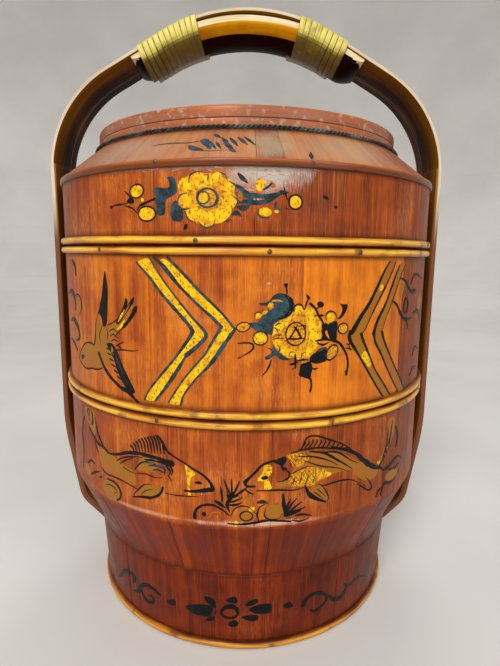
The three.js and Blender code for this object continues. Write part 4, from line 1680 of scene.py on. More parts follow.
@dataclass
class Handle:
    """The bent strap, its half-culm grip, the two rattan lashings and the nails.

    The strap's outline lies in X and Z. Its sizes are given for the right half, which the left one mirrors.
    """

    width: float = 50
    upright_thickness: float = 4
    arch_thickness: float = 2.2
    heel_thickness: float = 5
    edge_ease: float = 0.55
    crown_radius: float = 130
    crown_slope: float = math.radians(30)
    shoulder_radius: float = 91
    step_rise: float = 7.4
    heel_slope: float = math.radians(10)
    heel_bend: float = 190
    toe_slope: float = math.radians(45)
    toe_bend: float = 20
    toe_drop: float = 16
    ridge_round: float = 12
    bevel_height: float = 47.5
    toe_tuck: float = 3
    grip_width: float = 49
    grip_half_length: float = 97
    grip_slack: float = 10
    grip_side: float = 5.3
    grip_belly: float = 10
    culm_thickness: float = 6
    # Where the grip's skin keeps its gold on the lit flanks. Elsewhere below its rims it takes painted shade.
    lit_flank_from: float = 16.4
    lit_flank_reach: float = 62
    lit_flank_rise: float = 0.4
    lit_flank_fade: float = 0.1
    taper_length: float = 15
    tip_share: float = 0.35
    rattan_width: float = 4.4
    rattan_thickness: float = 1.1
    lashing_pitch: float = 4.6
    lashing_inset: float = 6.4
    left_turns: int = 11
    right_turns: int = 9

    def __post_init__(self) -> None:
        """Works out what the pieces share."""
        _, self.top, self.outer = extent("handle_strap")
        self.inner = self.outer - self.upright_thickness
        self.apex = self.top + self.crown_radius * (1 / math.cos(self.crown_slope) - 1)
        self.strap_centre = self.top - self.crown_radius
        self.grip_radius = self.crown_radius + self.grip_slack
        self.grip_centre = self.strap_centre + (
            self.crown_radius - self.arch_thickness - SEAT_GAP - self.grip_radius
        ) / math.cos(self.crown_slope)

    def build(self, foot: Foot) -> None:
        """Builds the handle's pieces.

        Args:
            foot: The foot that the strap's ends land on.
        """
        self.build_strap(foot)
        self.build_grip()
        rattan = Rattan(half_width=self.rattan_width / 2).make()
        self.build_lashing("handle_lashing_left", -1, self.left_turns, rattan)
        self.build_lashing("handle_lashing_right", 1, self.right_turns, rattan)
        iron = ForgedIron().make()
        for side, name in ((-1, "left"), (1, "right")):
            for end in ("front", "back"):
                self.build_nail(f"ridge_nail_{name}_{end}", side, iron)
            self.build_nail(f"toe_nail_{name}", side, iron)

    def outline(self, foot: Foot) -> list[Point]:
        """Draws the strap's closed outline, with the step where the uprights' thick part ends.

        Args:
            foot: The foot that the strap's ends land on.

        Returns:
            The points as (x, z).
        """
        tan, cos, sin = math.tan, math.cos, math.sin
        foot_top = extent("lower_tier_wall").low
        lean = math.atan((TIER_RADIUS - extent("foot_ring").radius) / self.bevel_height)
        ridge_top = foot_top + self.bevel_height + self.ridge_round * tan(lean / 2)
        reach = self.ridge_round + SEAT_GAP
        heel = Vector((TIER_RADIUS - self.ridge_round, ridge_top))
        heel += Vector((cos(self.heel_slope), -sin(self.heel_slope))) * reach
        toe_height = foot_top - self.toe_drop
        toe = Vector((foot.radius_at(toe_height), toe_height))
        toe_end = toe.x - foot.thickness + self.toe_tuck

        def heel_height(x: float, offset: float) -> float:
            """Height of the heel's face at a place along X."""
            return heel.y + (x - heel.x - offset / cos(self.heel_slope)) / tan(self.heel_slope)

        def toe_line(x: float, offset: float) -> float:
            """Height of the toe's face at a place along X."""
            return toe.y + (x - toe.x) / tan(self.toe_slope) + offset / sin(self.toe_slope)

        def flank(x: float, depth: float) -> float:
            """Height of the arch's straight flank at a place along X and a depth under its outer face."""
            return self.apex - depth / cos(self.crown_slope) - x * tan(self.crown_slope)

        def heel_meets_toe(heel_offset: float, toe_offset: float) -> Point:
            """Corner between heel and toe."""
            rise, run = 1 / tan(self.toe_slope), tan(self.heel_slope)
            start_x = heel.x - heel.y * run + heel_offset / cos(self.heel_slope)
            start_z = toe_line(0, toe_offset)
            x = (start_x + start_z * run) / (1 - rise * run)
            return x, start_z + x * rise

        thick, thin, round_share = self.upright_thickness, self.arch_thickness, 0.6
        arch = self.outer - thin
        step_height = flank(self.outer - self.shoulder_radius, self.shoulder_radius) + self.step_rise
        right_outer = [
            (0, self.apex, self.crown_radius),
            (self.outer, flank(self.outer, 0), self.shoulder_radius),
            (self.outer, heel_height(self.outer, self.heel_thickness), self.heel_bend),
            (*heel_meets_toe(self.heel_thickness, 0), self.toe_bend + self.heel_thickness),
            (toe_end, toe_line(toe_end, 0)),
        ]
        left_outer = [(-x, z, *rest) for x, z, *rest in reversed(right_outer[1:])]
        outer = rounded([*left_outer, *right_outer], 2, closed=False)
        arch_corners = [
            (arch, 0), (arch, flank(arch, thin), self.shoulder_radius - thin),
            (0, flank(0, thin), self.crown_radius - thin),
            (-arch, flank(arch, thin), self.shoulder_radius - thin), (-arch, 0),
        ]
        above = [p for p in rounded(arch_corners, 2, closed=False) if p[1] > step_height + thick - thin]
        inner = rounded([
            (toe_end, toe_line(toe_end, self.heel_thickness)),
            (*heel_meets_toe(0, self.heel_thickness), self.toe_bend),
            (self.inner, heel_height(self.inner, 0), self.heel_bend - thick),
            (self.inner, step_height, (thick - thin) * round_share), (above[0][0], step_height),
        ], 2, closed=False)
        left_inner = [(-x, z) for x, z in reversed(inner)]
        self.path = divided(outer, 2, closed=False)
        return divided([*outer, *inner, *above[1:], *left_inner], 9)

    def build_strap(self, foot: Foot) -> None:
        """Builds the strap from its outline, with eased edges.

        Args:
            foot: The foot that the strap's ends land on.
        """
        outline = self.outline(foot)
        deselect_all()
        bpy.ops.mesh.primitive_circle_add(vertices=len(outline), radius=MM, fill_type="NGON")
        strap = bpy.context.object
        strap.name = "handle_bent_strap"
        bpy.ops.object.mode_set(mode="EDIT")
        shape = bmesh.from_edit_mesh(strap.data)
        for vertex, (x, z) in zip(shape.verts, outline, strict=True):
            vertex.co = Vector((x, -self.width / 2, z)) * MM
        bmesh.update_edit_mesh(strap.data)
        bpy.ops.mesh.select_all(action="SELECT")
        bpy.ops.mesh.extrude_region_move(TRANSFORM_OT_translate={"value": (0, self.width * MM, 0)})
        bpy.ops.mesh.select_all(action="SELECT")
        bpy.ops.mesh.normals_make_consistent(inside=False)
        bpy.ops.object.mode_set(mode="OBJECT")
        ease_edges(strap, self.edge_ease, 50)
        shade_smooth(strap, 40)
        corner, _ = corners_and_middles(strap.data)
        path = np.array(self.path)
        run = np.concatenate([[0], np.cumsum(np.hypot(*np.diff(path, axis=0).T))])
        far = np.hypot(corner[:, None, 0] - path[None, :, 0], corner[:, None, 2] - path[None, :, 1])
        nearest = far.argmin(axis=1)
        normals = np.repeat(
            [polygon.normal.y for polygon in strap.data.polygons],
            [polygon.loop_total for polygon in strap.data.polygons],
        )
        depth = far[np.arange(len(far)), nearest]
        across = np.where(np.abs(normals) > 0.5, np.sign(normals) * (self.width + depth), corner[:, 1])
        lay_map(strap, across, run[nearest])
        tones = []
        skin_depth, most_slant = 0.8, 0.3
        for polygon in strap.data.polygons:
            slant = abs(polygon.normal.y)
            is_skin = depth[polygon.loop_start] < skin_depth and slant < most_slant
            tones.append(-1.0 if is_skin else min(1, max(0, slant * 1.6 - 0.5)))
        set_face_values(strap, TONE, tones)
        dress(strap, SmokedBamboo().make(), Body.LOWER_TIER, Slot.SMOKED, "handle_strap")

    def arch_frame(
        self, distance: float, radius: float, centre: float
    ) -> tuple[Vector, Vector, Vector, float]:
        """Finds a place on the arch's arc and straight flanks.

        Args:
            distance: Distance along the arch from its crown.
            radius: The arc's radius.
            centre: Height of the arc's centre.

        Returns:
            The point, the outward normal, the tangent and the angle from the crown in radians.
        """
        side = -1 if distance < 0 else 1
        angle = min(abs(distance) / radius, self.crown_slope)
        rest = abs(distance) - angle * radius
        tangent = Vector((math.cos(angle), 0, -side * math.sin(angle)))
        normal = Vector((side * math.sin(angle), 0, math.cos(angle)))
        point = normal * radius + tangent * side * rest + Vector((0, 0, centre))
        return point, normal, tangent, angle

    def build_grip(self) -> None:
        """Builds the half culm, with its skin down and its ends pared to a taper."""
        depth = self.grip_side + self.grip_belly
        half = self.grip_width / 2
        belly_radius = (half ** 2 + self.grip_belly ** 2) / (2 * self.grip_belly)
        belly_edge = math.asin(half / belly_radius)
        rim, ease, belly_steps, hollow_steps, stations = 4.3, 0.5, 24, 16, 61
        wear_share, wear_length, taper_power = 0.03, 30, 0.8
        section = [(-half, ease), (-half, rim)]
        for k in range(belly_steps + 1):
            turn = belly_edge * (k / (belly_steps / 2) - 1)
            down = self.grip_side + belly_radius * math.cos(turn) - (belly_radius - self.grip_belly)
            section.append((belly_radius * math.sin(turn), down))
        section += [(half, rim), (half, ease), (half - ease, 0)]
        hollow = half - self.culm_thickness
        for k in range(hollow_steps + 1):
            turn = math.pi * k / hollow_steps
            section.append((hollow * math.cos(turn), (depth - self.culm_thickness) * math.sin(turn)))
        section.append((-half + ease, 0))
        rings, along = [], []
        for k in range(stations):
            distance = self.grip_half_length * math.sin(math.pi / 2 * (2 * k / (stations - 1) - 1))
            left = min(1, (self.grip_half_length - abs(distance)) / self.taper_length)
            share = self.tip_share + (1 - self.tip_share) * (left * (2 - left)) ** taper_power
            point, normal, _, _ = self.arch_frame(distance, self.grip_radius, self.grip_centre)
            worn = 1 - wear_share * (1 + noise.noise(Vector((distance / wear_length, 0, 0))))
            rings.append([
                (point - normal * down * share + Vector((0, out * worn, 0))) * MM for out, down in section
            ])
            along.append(distance)
        across = [0.0]
        for k in range(len(section)):
            here, following = Vector(section[k]), Vector(section[(k + 1) % len(section)])
            across.append(across[-1] + (following - here).length)
        grip = loft("handle_half_culm", rings, across, along, smooth_angle=50)
        tones = []
        for polygon in grip.data.polygons:
            point, normal, _, _ = self.arch_frame(polygon.center.x / MM, self.grip_radius, self.grip_centre)
            down = (point - polygon.center / MM).dot(normal)
            # Painted shade on the skin, except on the lit flanks towards front and back, away from the tips.
            gold = (abs(polygon.center.y) / MM - self.lit_flank_from) * self.lit_flank_rise
            gold = min(gold, (self.lit_flank_reach - abs(polygon.center.x) / MM) * self.lit_flank_fade)
            tones.append(1.0 if down < rim else min(0.5, max(0.0, gold)))
        set_face_values(grip, TONE, tones)
        dress(grip, PolishedCulm().make(), Body.LOWER_TIER, Slot.CULM, "handle_grip")

    def bundle_depth(self, angle: float, inset: float) -> float:
        """Finds how deep under the strap's outer face a part of the grip lies.

        Args:
            angle: Radians from the crown.
            inset: Depth inside the grip's top face.

        Returns:
            The depth.
        """
        shift = self.strap_centre - self.grip_centre
        radius = self.grip_radius - inset
        reach = -shift * math.cos(angle) + math.sqrt(radius ** 2 - (shift * math.sin(angle)) ** 2)
        return self.crown_radius - reach

    def turn_outline(self, angle: float) -> list[Point]:
        """Draws the way of one turn round strap and grip.

        Args:
            angle: Radians from the crown.

        Returns:
            The closed way as (across, up), from the middle of the grip's underside.
        """
        play, belly_share, belly_rise, belly_round, side_round, edge_round = 0.12, 0.72, 2.6, 22, 5, 1.3
        gap = self.rattan_thickness / 2 + play
        half = max(self.width, self.grip_width) / 2 + gap
        side = self.bundle_depth(angle, self.grip_side)
        bottom = self.bundle_depth(angle, self.grip_side + self.grip_belly) + gap
        right = [
            (half * belly_share, -bottom + belly_rise, belly_round), (half, -side, side_round),
            (half, gap, edge_round),
        ]
        left = [(-x, up, bend) for x, up, bend in reversed(right)]
        return rounded([(0, -bottom), *right, *left], 15)

    def build_lashing(self, node: str, side: int, turns: int, finish: Material) -> None:
        """Winds one rattan strip round strap and grip.

        Args:
            node: The plain solid that it stands for.
            side: -1 for the left lashing, 1 for the right.
            turns: Its number of turns.
            finish: Its finish.
        """
        stations, most_slack, climb_share, ease, face_round = 56, 0.12, 0.35, 0.25, 0.5
        shade_from, shade_reach = self.grip_side + 2.4, 5
        start = self.grip_half_length - self.lashing_inset - self.left_turns * self.lashing_pitch
        half, thick = self.rattan_width / 2, self.rattan_thickness / 2
        section = rounded([
            (-half, -thick, ease), (half, -thick, ease), (half, thick, face_round), (-half, thick, face_round)
        ], 45)
        rings, along, run, last = [], [], 0.0, None
        draw = random.Random(node)
        wander = [draw.uniform(-most_slack, most_slack) for _ in range(turns + 2)]
        for i in range(turns * stations + 1):
            turn, part = divmod(i / stations, 1)
            turn = int(turn)
            slack = wander[turn] * (1 - part) + wander[turn + 1] * part
            climb = min(1, max(0, (part - 0.5) / climb_share))
            wound = turn + climb * climb * (3 - 2 * climb)
            distance = side * (start + self.lashing_pitch * wound + slack)
            point, normal, tangent, angle = self.arch_frame(distance, self.crown_radius, self.strap_centre)
            way = self.turn_outline(angle)
            lengths = [(Vector(a) - Vector(b)).length for a, b in zip(way, [*way[1:], way[0]])]
            target = sum(lengths) * part
            k = 0
            while k < len(lengths) - 1 and target > lengths[k]:
                target -= lengths[k]
                k += 1
            here, following = Vector(way[k]), Vector(way[(k + 1) % len(way)])
            spot = here.lerp(following, min(1, target / lengths[k]))
            before, after = Vector(way[k - 1]), Vector(way[(k + 2) % len(way)])
            blend = min(1, target / lengths[k])
            chord = (here - before).normalized().lerp((following - here).normalized(), 0.5 + blend / 2)
            chord = chord.lerp((after - following).normalized(), blend / 2).normalized()
            outward = normal * -chord.x + Vector((0, chord.y, 0))
            centre = point + normal * spot.y + Vector((0, spot.x, 0))
            if last is not None:
                run += (centre - last).length
            last = centre
            along.append(run)
            rings.append([(centre + tangent * a + outward * out) * MM for a, out in section])
        across = [a for a, _ in section] + [section[0][0]]
        lashing = loft(f"{node}_strip", rings, across, along)
        tones = []
        for polygon in lashing.data.polygons:
            point, normal, _, _ = self.arch_frame(polygon.center.x / MM, self.crown_radius, self.strap_centre)
            down = (point - polygon.center / MM).dot(normal)
            tones.append(min(1, max(0, (down - shade_from) / shade_reach)))
        set_face_values(lashing, TONE, tones)
        dress(lashing, finish, Body.LOWER_TIER, Slot.RATTAN, node)

    def build_nail(self, node: str, side: int, finish: Material) -> None:
        """Builds a nail's domed head where the plain one is.

        Args:
            node: The plain solid that it stands for.
            side: -1 on the left, 1 on the right.
            finish: Its finish.
        """
        head_radius, head_height, flat_share, sunk = 3.2, 1.7, 0.42, 0.4
        dent_size, dent_depth, weld = 1.8, 0.12, 0.001
        low, high = corners_of(node)
        is_toe = node.startswith("toe")
        slope = self.toe_slope if is_toe else self.heel_slope
        outward = Vector((side * math.cos(slope), 0, -math.sin(slope)))
        tip = Vector((high.x if side > 0 else low.x, (low.y + high.y) / 2, 0))
        tip.z = (low.z + head_radius * math.cos(slope)) if is_toe else low.z + head_radius
        deselect_all()
        bpy.ops.mesh.primitive_uv_sphere_add(segments=24, ring_count=16, radius=head_radius * MM)
        nail = bpy.context.object
        nail.name = f"{node}_head"
        bpy.ops.object.mode_set(mode="EDIT")
        bpy.ops.mesh.bisect(plane_co=(0, 0, 0), plane_no=(0, 0, 1), use_fill=True, clear_inner=True)
        bpy.ops.mesh.select_all(action="SELECT")
        bpy.ops.transform.resize(value=(1, 1, head_height / head_radius * (1 - flat_share)))
        shape = bmesh.from_edit_mesh(nail.data)
        turn = Vector((0, 0, 1)).rotation_difference(outward).to_matrix()
        seat = tip - outward * head_height
        for vertex in shape.verts:
            dent = noise.noise(vertex.co / (dent_size * MM) + Vector((side, tip.y, 0))) * dent_depth
            is_back = vertex.co.z < weld * MM
            rise = -sunk if is_back else flat_share * head_height + dent
            vertex.co = turn @ (vertex.co + Vector((0, 0, rise * MM))) + seat * MM
        bmesh.update_edit_mesh(nail.data)
        finish_piece(50)
        dress(nail, finish, Body.LOWER_TIER, Slot.IRON, node)


@dataclass(frozen=True)
class Mark:
    """One mark of the brush, which is a stroke, or a filled outline where its widths are 0.

    Attributes:
        paint: The colour.
        widths: Width where the brush is set down, in the middle, and where it is lifted.
        points: The flat places that it passes.
        closed: Whether it comes back to its start. The places then are all the points of its outline.
    """

    paint: Paint
    widths: Numbers
    points: Sequence[Point]
    closed: bool = False


def thinned(width: float) -> Numbers:
    """Thins a stroke out towards both ends.

    Args:
        width: Its width in the middle.

    Returns:
        Its three widths.
    """
    return width * 0.55, width, width * 0.3


@dataclass
class Brushwork:
    """Brush strokes on a wall, laid out flat and wrapped on its staves in the order of painting.

    Flat places are (s, v): s runs round the wall from the front towards +X, v up it from the lower edge.

    Attributes:
        name: Start of the pieces' names.
        wall: The wall below.
        lower: Radius and height of the painted face's lower edge.
        upper: Radius and height of its upper edge.
        around: Radius at which s has its true length.
        body: What the paint moves with.
    """

    name: str
    wall: StaveWall
    lower: Point
    upper: Point
    around: float
    body: Body
    lift: float = 0.1
    layer: float = 0.001
    buried: float = 0.3
    cell: float = 3.0
    rise: float = 10.0
    seam_reach: float = 0.4
    merge: float = 0.0005
    path_step: float = 1.6
    outline_step: float = 1.5
    waver: float = 0.3
    waver_length: float = 3
    sheets: dict[Paint, bmesh.types.BMesh] = field(init=False)
    laid: int = field(init=False, default=0)

    def __post_init__(self) -> None:
        """Opens a sheet for each colour."""
        self.sheets = {paint: bmesh.new() for paint in Paint}
        for sheet in self.sheets.values():
            sheet.loops.layers.uv.new(GRAIN)

    def lay(self, paint: Paint, outlines: Sequence[Sequence[Point]]) -> None:
        """Cuts flat faces at the wall's staves and facets, and keeps them with their place in the order.

        Args:
            paint: The colour.
            outlines: Outlines of the faces, which may share corners.
        """
        sheet = self.sheets[paint]
        self.laid += 1
        corners = {}
        faces = []
        for outline in outlines:
            ring = []
            for x, y in outline:
                key = (round(x, 4), round(y, 4))
                if key not in corners:
                    corners[key] = sheet.verts.new((x, y, self.laid))
                if corners[key] not in ring:
                    ring.append(corners[key])
            if len(ring) > 2 and not sheet.faces.get(ring):
                faces.append(sheet.faces.new(ring))
                faces[-1].normal_update()
        if len(faces) == 1:
            faces = bmesh.ops.triangulate(sheet, faces=faces)["faces"]
        geometry = {*corners.values(), *faces}
        for face in faces:
            geometry.update(face.edges)
        seams = [math.radians(seam) * self.around for seam in self.wall.seams]
        for axis, stops in ((0, self.cell), (1, self.rise)):
            spans = [corner[axis] for corner in corners]
            low, high = min(spans), max(spans)
            cuts = [k * stops for k in range(math.ceil(low / stops), math.floor(high / stops) + 1)]
            if axis == 0:
                crossed = [seam for seam in seams if low < seam < high]
                cuts += [seam + side * self.seam_reach for seam in crossed for side in (-1, 1)]
            normal = Vector((1, 0, 0) if axis == 0 else (0, 1, 0))
            for cut in sorted(cuts):
                geometry = bmesh.ops.bisect_plane(
                    sheet, geom=list(geometry), dist=self.merge, plane_co=normal * cut, plane_no=normal
                )["geom"]

    def stroke(self, mark: Mark) -> None:
        """Paints one stroke of the brush.

        Args:
            mark: The stroke.
        """
        path = smooth_path(mark.points[::3] if mark.closed else mark.points, self.path_step, mark.closed)
        count = len(path)
        start, middle, end = mark.widths
        left, right = [], []
        for k, point in enumerate(path):
            if mark.closed:
                ahead = path[(k + 1) % count] - path[k - 1]
                width = middle
            else:
                ahead = path[min(k + 1, count - 1)] - path[max(k - 1, 0)]
                t = k / (count - 1)
                if t < 0.5:
                    width = start + (middle - start) * min(1, t * 3)
                else:
                    width = end + (middle - end) * min(1, (1 - t) * 2)
            spot = Vector((point.x / self.waver_length, point.y / self.waver_length, self.laid))
            waver = 1 + self.waver * noise.noise(spot)
            side = Vector((-ahead.y, ahead.x)).normalized() * width / 2 * waver
            left.append(tuple(point + side))
            right.append(tuple(point - side))
        last = count if mark.closed else count - 1
        faces = [(right[k], right[(k + 1) % count], left[(k + 1) % count], left[k]) for k in range(last)]
        if not mark.closed:
            for tip, way in ((0, -1), (-1, 1)):
                middle = (Vector(left[tip]) + Vector(right[tip])) / 2
                spoke = (Vector(right[tip]) - Vector(left[tip])) / 2
                cap = [tuple(middle + Matrix.Rotation(way * math.pi * k / 5, 2) @ spoke) for k in range(1, 5)]
                faces.append([right[tip], *cap, left[tip]])
        self.lay(mark.paint, faces)

    def draw(self, marks: Sequence[Mark]) -> None:
        """Paints marks in their order.

        Args:
            marks: The marks.
        """
        for mark in marks:
            if any(mark.widths):
                self.stroke(mark)
                continue
            outline = mark.points if mark.closed else smooth_path(mark.points, self.outline_step, True)
            self.lay(mark.paint, [[tuple(point) for point in outline]])

    def scuff(self, centre: Point, reach: Point, count: int, size: Point) -> None:
        """Rubs a place with short dry strokes along the grain: scuffs and painted highlights.

        Args:
            centre: The place's middle.
            reach: Half its width and half its height.
            count: How many strokes.
            size: Length and width of a stroke.
        """
        draw = random.Random(f"{self.name} {centre}")
        for _ in range(count):
            x = centre[0] + max(-1.0, min(1.0, draw.gauss(0, 0.45))) * reach[0]
            y = centre[1] + draw.uniform(-1, 1) * reach[1]
            length, width = (side * draw.uniform(0.4, 1.2) for side in size)
            lean = draw.uniform(-0.5, 0.5)
            ends = ((x - length / 2, y - lean), (x + length / 2, y + lean))
            self.stroke(Mark(Paint.SCUFF, (width * 0.4, width, width * 0.2), ends))

    def finish(self, finishes: dict[Paint, Material]) -> None:
        """Wraps the sheets on the wall as thin films.

        Args:
            finishes: Finish of each colour.
        """
        gilt = (Paint.GOLD, Paint.AMBER, Paint.WASH)
        slant = math.dist(self.lower, self.upper)
        for paint, sheet in self.sheets.items():
            if not sheet.faces:
                continue
            grain = sheet.loops.layers.uv[GRAIN]
            for face in sheet.faces:
                for loop in face.loops:
                    loop[grain].uv = (loop.vert.co.x * MM, loop.vert.co.y * MM)
            films = bmesh.ops.extrude_face_region(sheet, geom=sheet.faces[:])["geom"]
            outer = {item for item in films if isinstance(item, bmesh.types.BMVert)}
            for vertex in sheet.verts:
                s, v, order = vertex.co
                share = v / slant
                radius = self.lower[0] + (self.upper[0] - self.lower[0]) * share
                height = self.lower[1] + (self.upper[1] - self.lower[1]) * share
                angle = math.degrees(s / self.around)
                film = self.lift + self.layer * order if vertex in outer else -self.buried
                vertex.co = place(angle, radius + self.wall.shift(angle, height) + film, height)
            piece = piece_of(sheet, f"{self.name}_{paint.value}")
            dress(piece, finishes[paint], self.body, Slot.GILT if paint in gilt else Slot.PAINT)


def oval_points(centre: Point, half: Point, tilt: float) -> list[Point]:
    """Lists points round an oval.

    Args:
        centre: Its middle.
        half: Half its width and half its height.
        tilt: Degrees that it leans, counter-clockwise.

    Returns:
        The points.
    """
    count = 24
    lean = Matrix.Rotation(math.radians(tilt), 2)
    points = []
    for k in range(count):
        turn = 2 * math.pi * k / count
        spoke = Vector((half[0] * math.cos(turn), half[1] * math.sin(turn)))
        points.append(tuple(Vector(centre) + lean @ spoke))
    return points


def read_marks(table: str) -> list[Mark]:
    """Reads a table of marks, one to a line, in the order of painting.

    A line gives the colour, the width and the places of a mark, and one that starts with a space goes on with
    them. A width of 0 fills the outline that the places give, a single width thins out towards both ends, and
    three widths stand as they are. The word oval comes before an oval's centre, its half width and half
    height, and the degrees that it leans.

    Args:
        table: The table.

    Returns:
        The marks.
    """
    marks = []
    for line in filter(None, table.replace("\n ", " ").splitlines()):
        paint, width, *words = line.split()
        is_oval = words[0] == "oval"
        numbers = [float(word) for word in words[is_oval:]]
        points = list(zip(numbers[::2], numbers[1::2]))
        if is_oval:
            points = oval_points(*points, numbers[-1])
        widths = tuple(float(word) for word in width.split("/"))
        if len(widths) == 1:
            widths = thinned(*widths)
        marks.append(Mark(Paint[paint.upper()], widths, points, is_oval))
    return marks


PEONY = """
slate 0 28.3 66 27.5 68 25 70 21.7 71.4 18.3 71.3 16 70 14.5 68 12.8 66.5 10.5 66 7.2 65.5 9.5 64.3
 12.5 64 13 62 10.8 59 9 57 7.5 54.8 5 54.4 2 54 1.7 52.3 4 51 7 49 10 48 13.5 47.3 15.5 47 16 50 17 53
 19.5 55 24 56.2 27 58.8 28.6 61.5 29 63.5
dark 0 28.3 66 27.5 68.3 25 70 22 71 24 68.5 25.5 65 25 61 22 58 19 56.5 22 56 25 56.5 28 60 29 63.5
slate 0 11.7 39.8 16 38.5 17.9 37 18.3 35 15.8 33.8 14.6 32.5 12 32.2 11.4 33.4 13.8 35 15.4 36 15.6 37.5
 13.8 38.8
slate 1.5/3.4/1.5 17 39.5 18.5 36.5 21.5 33.6 26 32.2
dark 0 33.8 28.8 36.5 29.5 40 30.5 40.6 29 41.3 26 40.6 22.5 40.2 18.8 38.3 19.6 35 20.8 32.7 21.9
 33.2 25.8
dark 0 39.2 30.6 42.5 28.8 46 28.8 50.8 30.2 49.4 33.5 50.6 38 48 38.6 45.8 37.3 43.3 35.8 40.2 33.8
slate 1.8 44 36 47 37.5 50.5 38
dark 0 45.8 52 49 53.4 51.2 51.8 50.6 49.4 49 48.4 49.5 46 51.8 43 49 42.6 46.5 43.5 47.3 46 46 48.4 47 50
dark 0 51.7 53 55.6 54.4 57.4 52.5 57.1 47.5 56.8 42.6 53.2 42.2 51.7 45 50.4 48.3 50 50.8
dark 0 58.2 64.8 61 64.2 63.9 64.2 63.9 61.5 62.2 58.3 59.8 55.8 56.8 55.3 58.9 57.3 60 59.6 60.3 62.4
dark 0 22 76.9 24.5 77 24 74.6 22.8 74.8
dark 0 35.9 71 38.6 68.6 37.6 67.4 36.4 68.3
amber 0 28.5 62 31 64.2 34 62.2 38 62.4 41 61.5 43 58 45.5 55 46 51 45.5 47 46.5 43 44.5 40 42 36 38 33
 33 31.5 29 33 25 33 21 36 18 39 16.5 42 15.5 46 17 50 16.5 53 20 55.5 24 57 27 59
gold 0 35.5 62.3 39 62.5 42.5 60 44 56.5 46 53 46.2 47 46 42 43 38.5 40.5 34.5 37.5 33 36.5 38 38 42
 38.5 48 37.5 53 36 57
gold 0 29.3 60 30 63.6 33 63.8 34.2 61 32 59.5
gold 0 17 53 21 54 24 56 27 57 25 53.5 22 51 18 48.5 16 46 16.5 50
gold 0 17 42 19 38.5 24 35 29 34.5 33 33 36.5 34 35 36.5 30 37 25 39.5 22 42.5 19 44
gold 0 oval 52.3 56.3 3.1 2.9 0
amber 0 oval 61.5 49.4 3.5 3.2 0
gold 0 oval 8.8 45 4.3 3.9 0
amber 0 oval -1.3 51.7 4.2 2.6 15
amber 0 oval 54.2 35 3.4 5 -35
gold 0 oval 7.4 58.4 2.2 1.6 30
gold 0 oval 11 60.5 2 1.3 30
amber 0 oval 14.6 64 1.8 2.2 -20
amber 1.3 15.4 67 18.5 67.4 21.7 66.6
dark 1/.9/.9 28.4 61 28.6 63.6 30.5 65 33 64.6 34.6 62
dark .9 17.5 52.4 19.2 53.6 21.2 53.6
dark .9 16.8 51.5 18.6 50.2 19 48.6
dark .8 18.6 47 20 46.6 21 47.2
dark .7 16 44.4 19 45 23 44.8
dark .8 20 37 20.4 39.4 19 41
dark .8 26 34.6 27.4 36.6 30 36.2
dark .8 34 33 34.4 35.4 37 36
dark .9 oval 30 47.3 6.1 7 0
dark 1/1.3/1 25.4 44.5 30 44.3 34.4 44.6
dark 1.2/1.1/.8 26.5 45 28.6 48.3 31 52.6
dark 1/1.6/1.4 29.2 51.4 31.5 48.5 33.4 44.8
dark 1 29 51.8 30.4 50 32 49.8
dark 1 31.8 51.6 34 52.4 36 52 36 49.4
dark 1.1 23.6 75 24 72.5 23.8 70
dark 1.2 37.2 68 36 65 35.2 61.3
dark 2.2 38.2 65 39 64.6
dark 1.4/1.4/1 38.6 65.2 42.3 61.8 43.8 58.3 46.7 54.6 48.4 51
dark 0 oval 45.2 64.6 2.3 1.8 -20
dark 1 44.6 63.6 42.6 61.8
dark 1.6 44.5 58.2 47.8 57.8
dark 1.6 41.6 57.8 43.8 58.4
dark .5/1.1/.5 49.6 55 49 57.6 50.3 59.8 53 60.3 55.6 58.8 56.4 56.2
dark .9 oval 61.5 49.4 3.6 3.3 0
dark .8 oval 8.8 45 4.4 4 0
dark .7 oval -1.3 51.7 4.3 2.7 15
dark 1 oval 54.2 35 3.5 5.1 -35
dark .8 5.6 57.4 5.4 59.6 7.4 60.6 9.4 59.8 10 61.6 12.6 61.6
dark 1.1 -4.4 42 1.7 42.3 4.5 41.3 4.8 39.2 2.5 36.7 -.4 35 -4 32.8
dark 1.2 -4.2 33 -2.8 33.8
dark 1.2 15.4 31.9 14.2 27.9 12.5 25 10.2 22.3
dark 1/1.6/.8 30 35 30.3 31 30.4 26.6
dark 1.5 27 28.8 29.4 29.4 32 30.2
dark 1.2 28.6 25.8 30.3 27.2
dark 1.4 31.7 31 35 31.6 38.6 31.2
dark 1.3 40.8 26 43 25.2 45 25.8
dark 1.6/1.2/1.4 40.4 19 41 15 40.3 11.6
dark 1 50.8 30.6 53.4 29.8
dark 1.2/1.7/1.4 43 42.6 48.3 43.3 54.2 42.5 59.2 40.5 62.5 36.7 65 32.5 66.4 26.7 65.4 20
dark 1.2 65.4 20 64.4 22.6
wash 1 56 35 60 32.8 63.5 33.4
dark 1.2 64.6 39.6 66.5 39 68 40.8
dark 1.2 64.8 36.8 67 36.6 69 35.6
dark .9 66.6 38.2 67.6 35
dark 1.3 44 41.6 47.5 40 52 41.5
scuff 0 oval 13.3 77 1 .8 20
"""
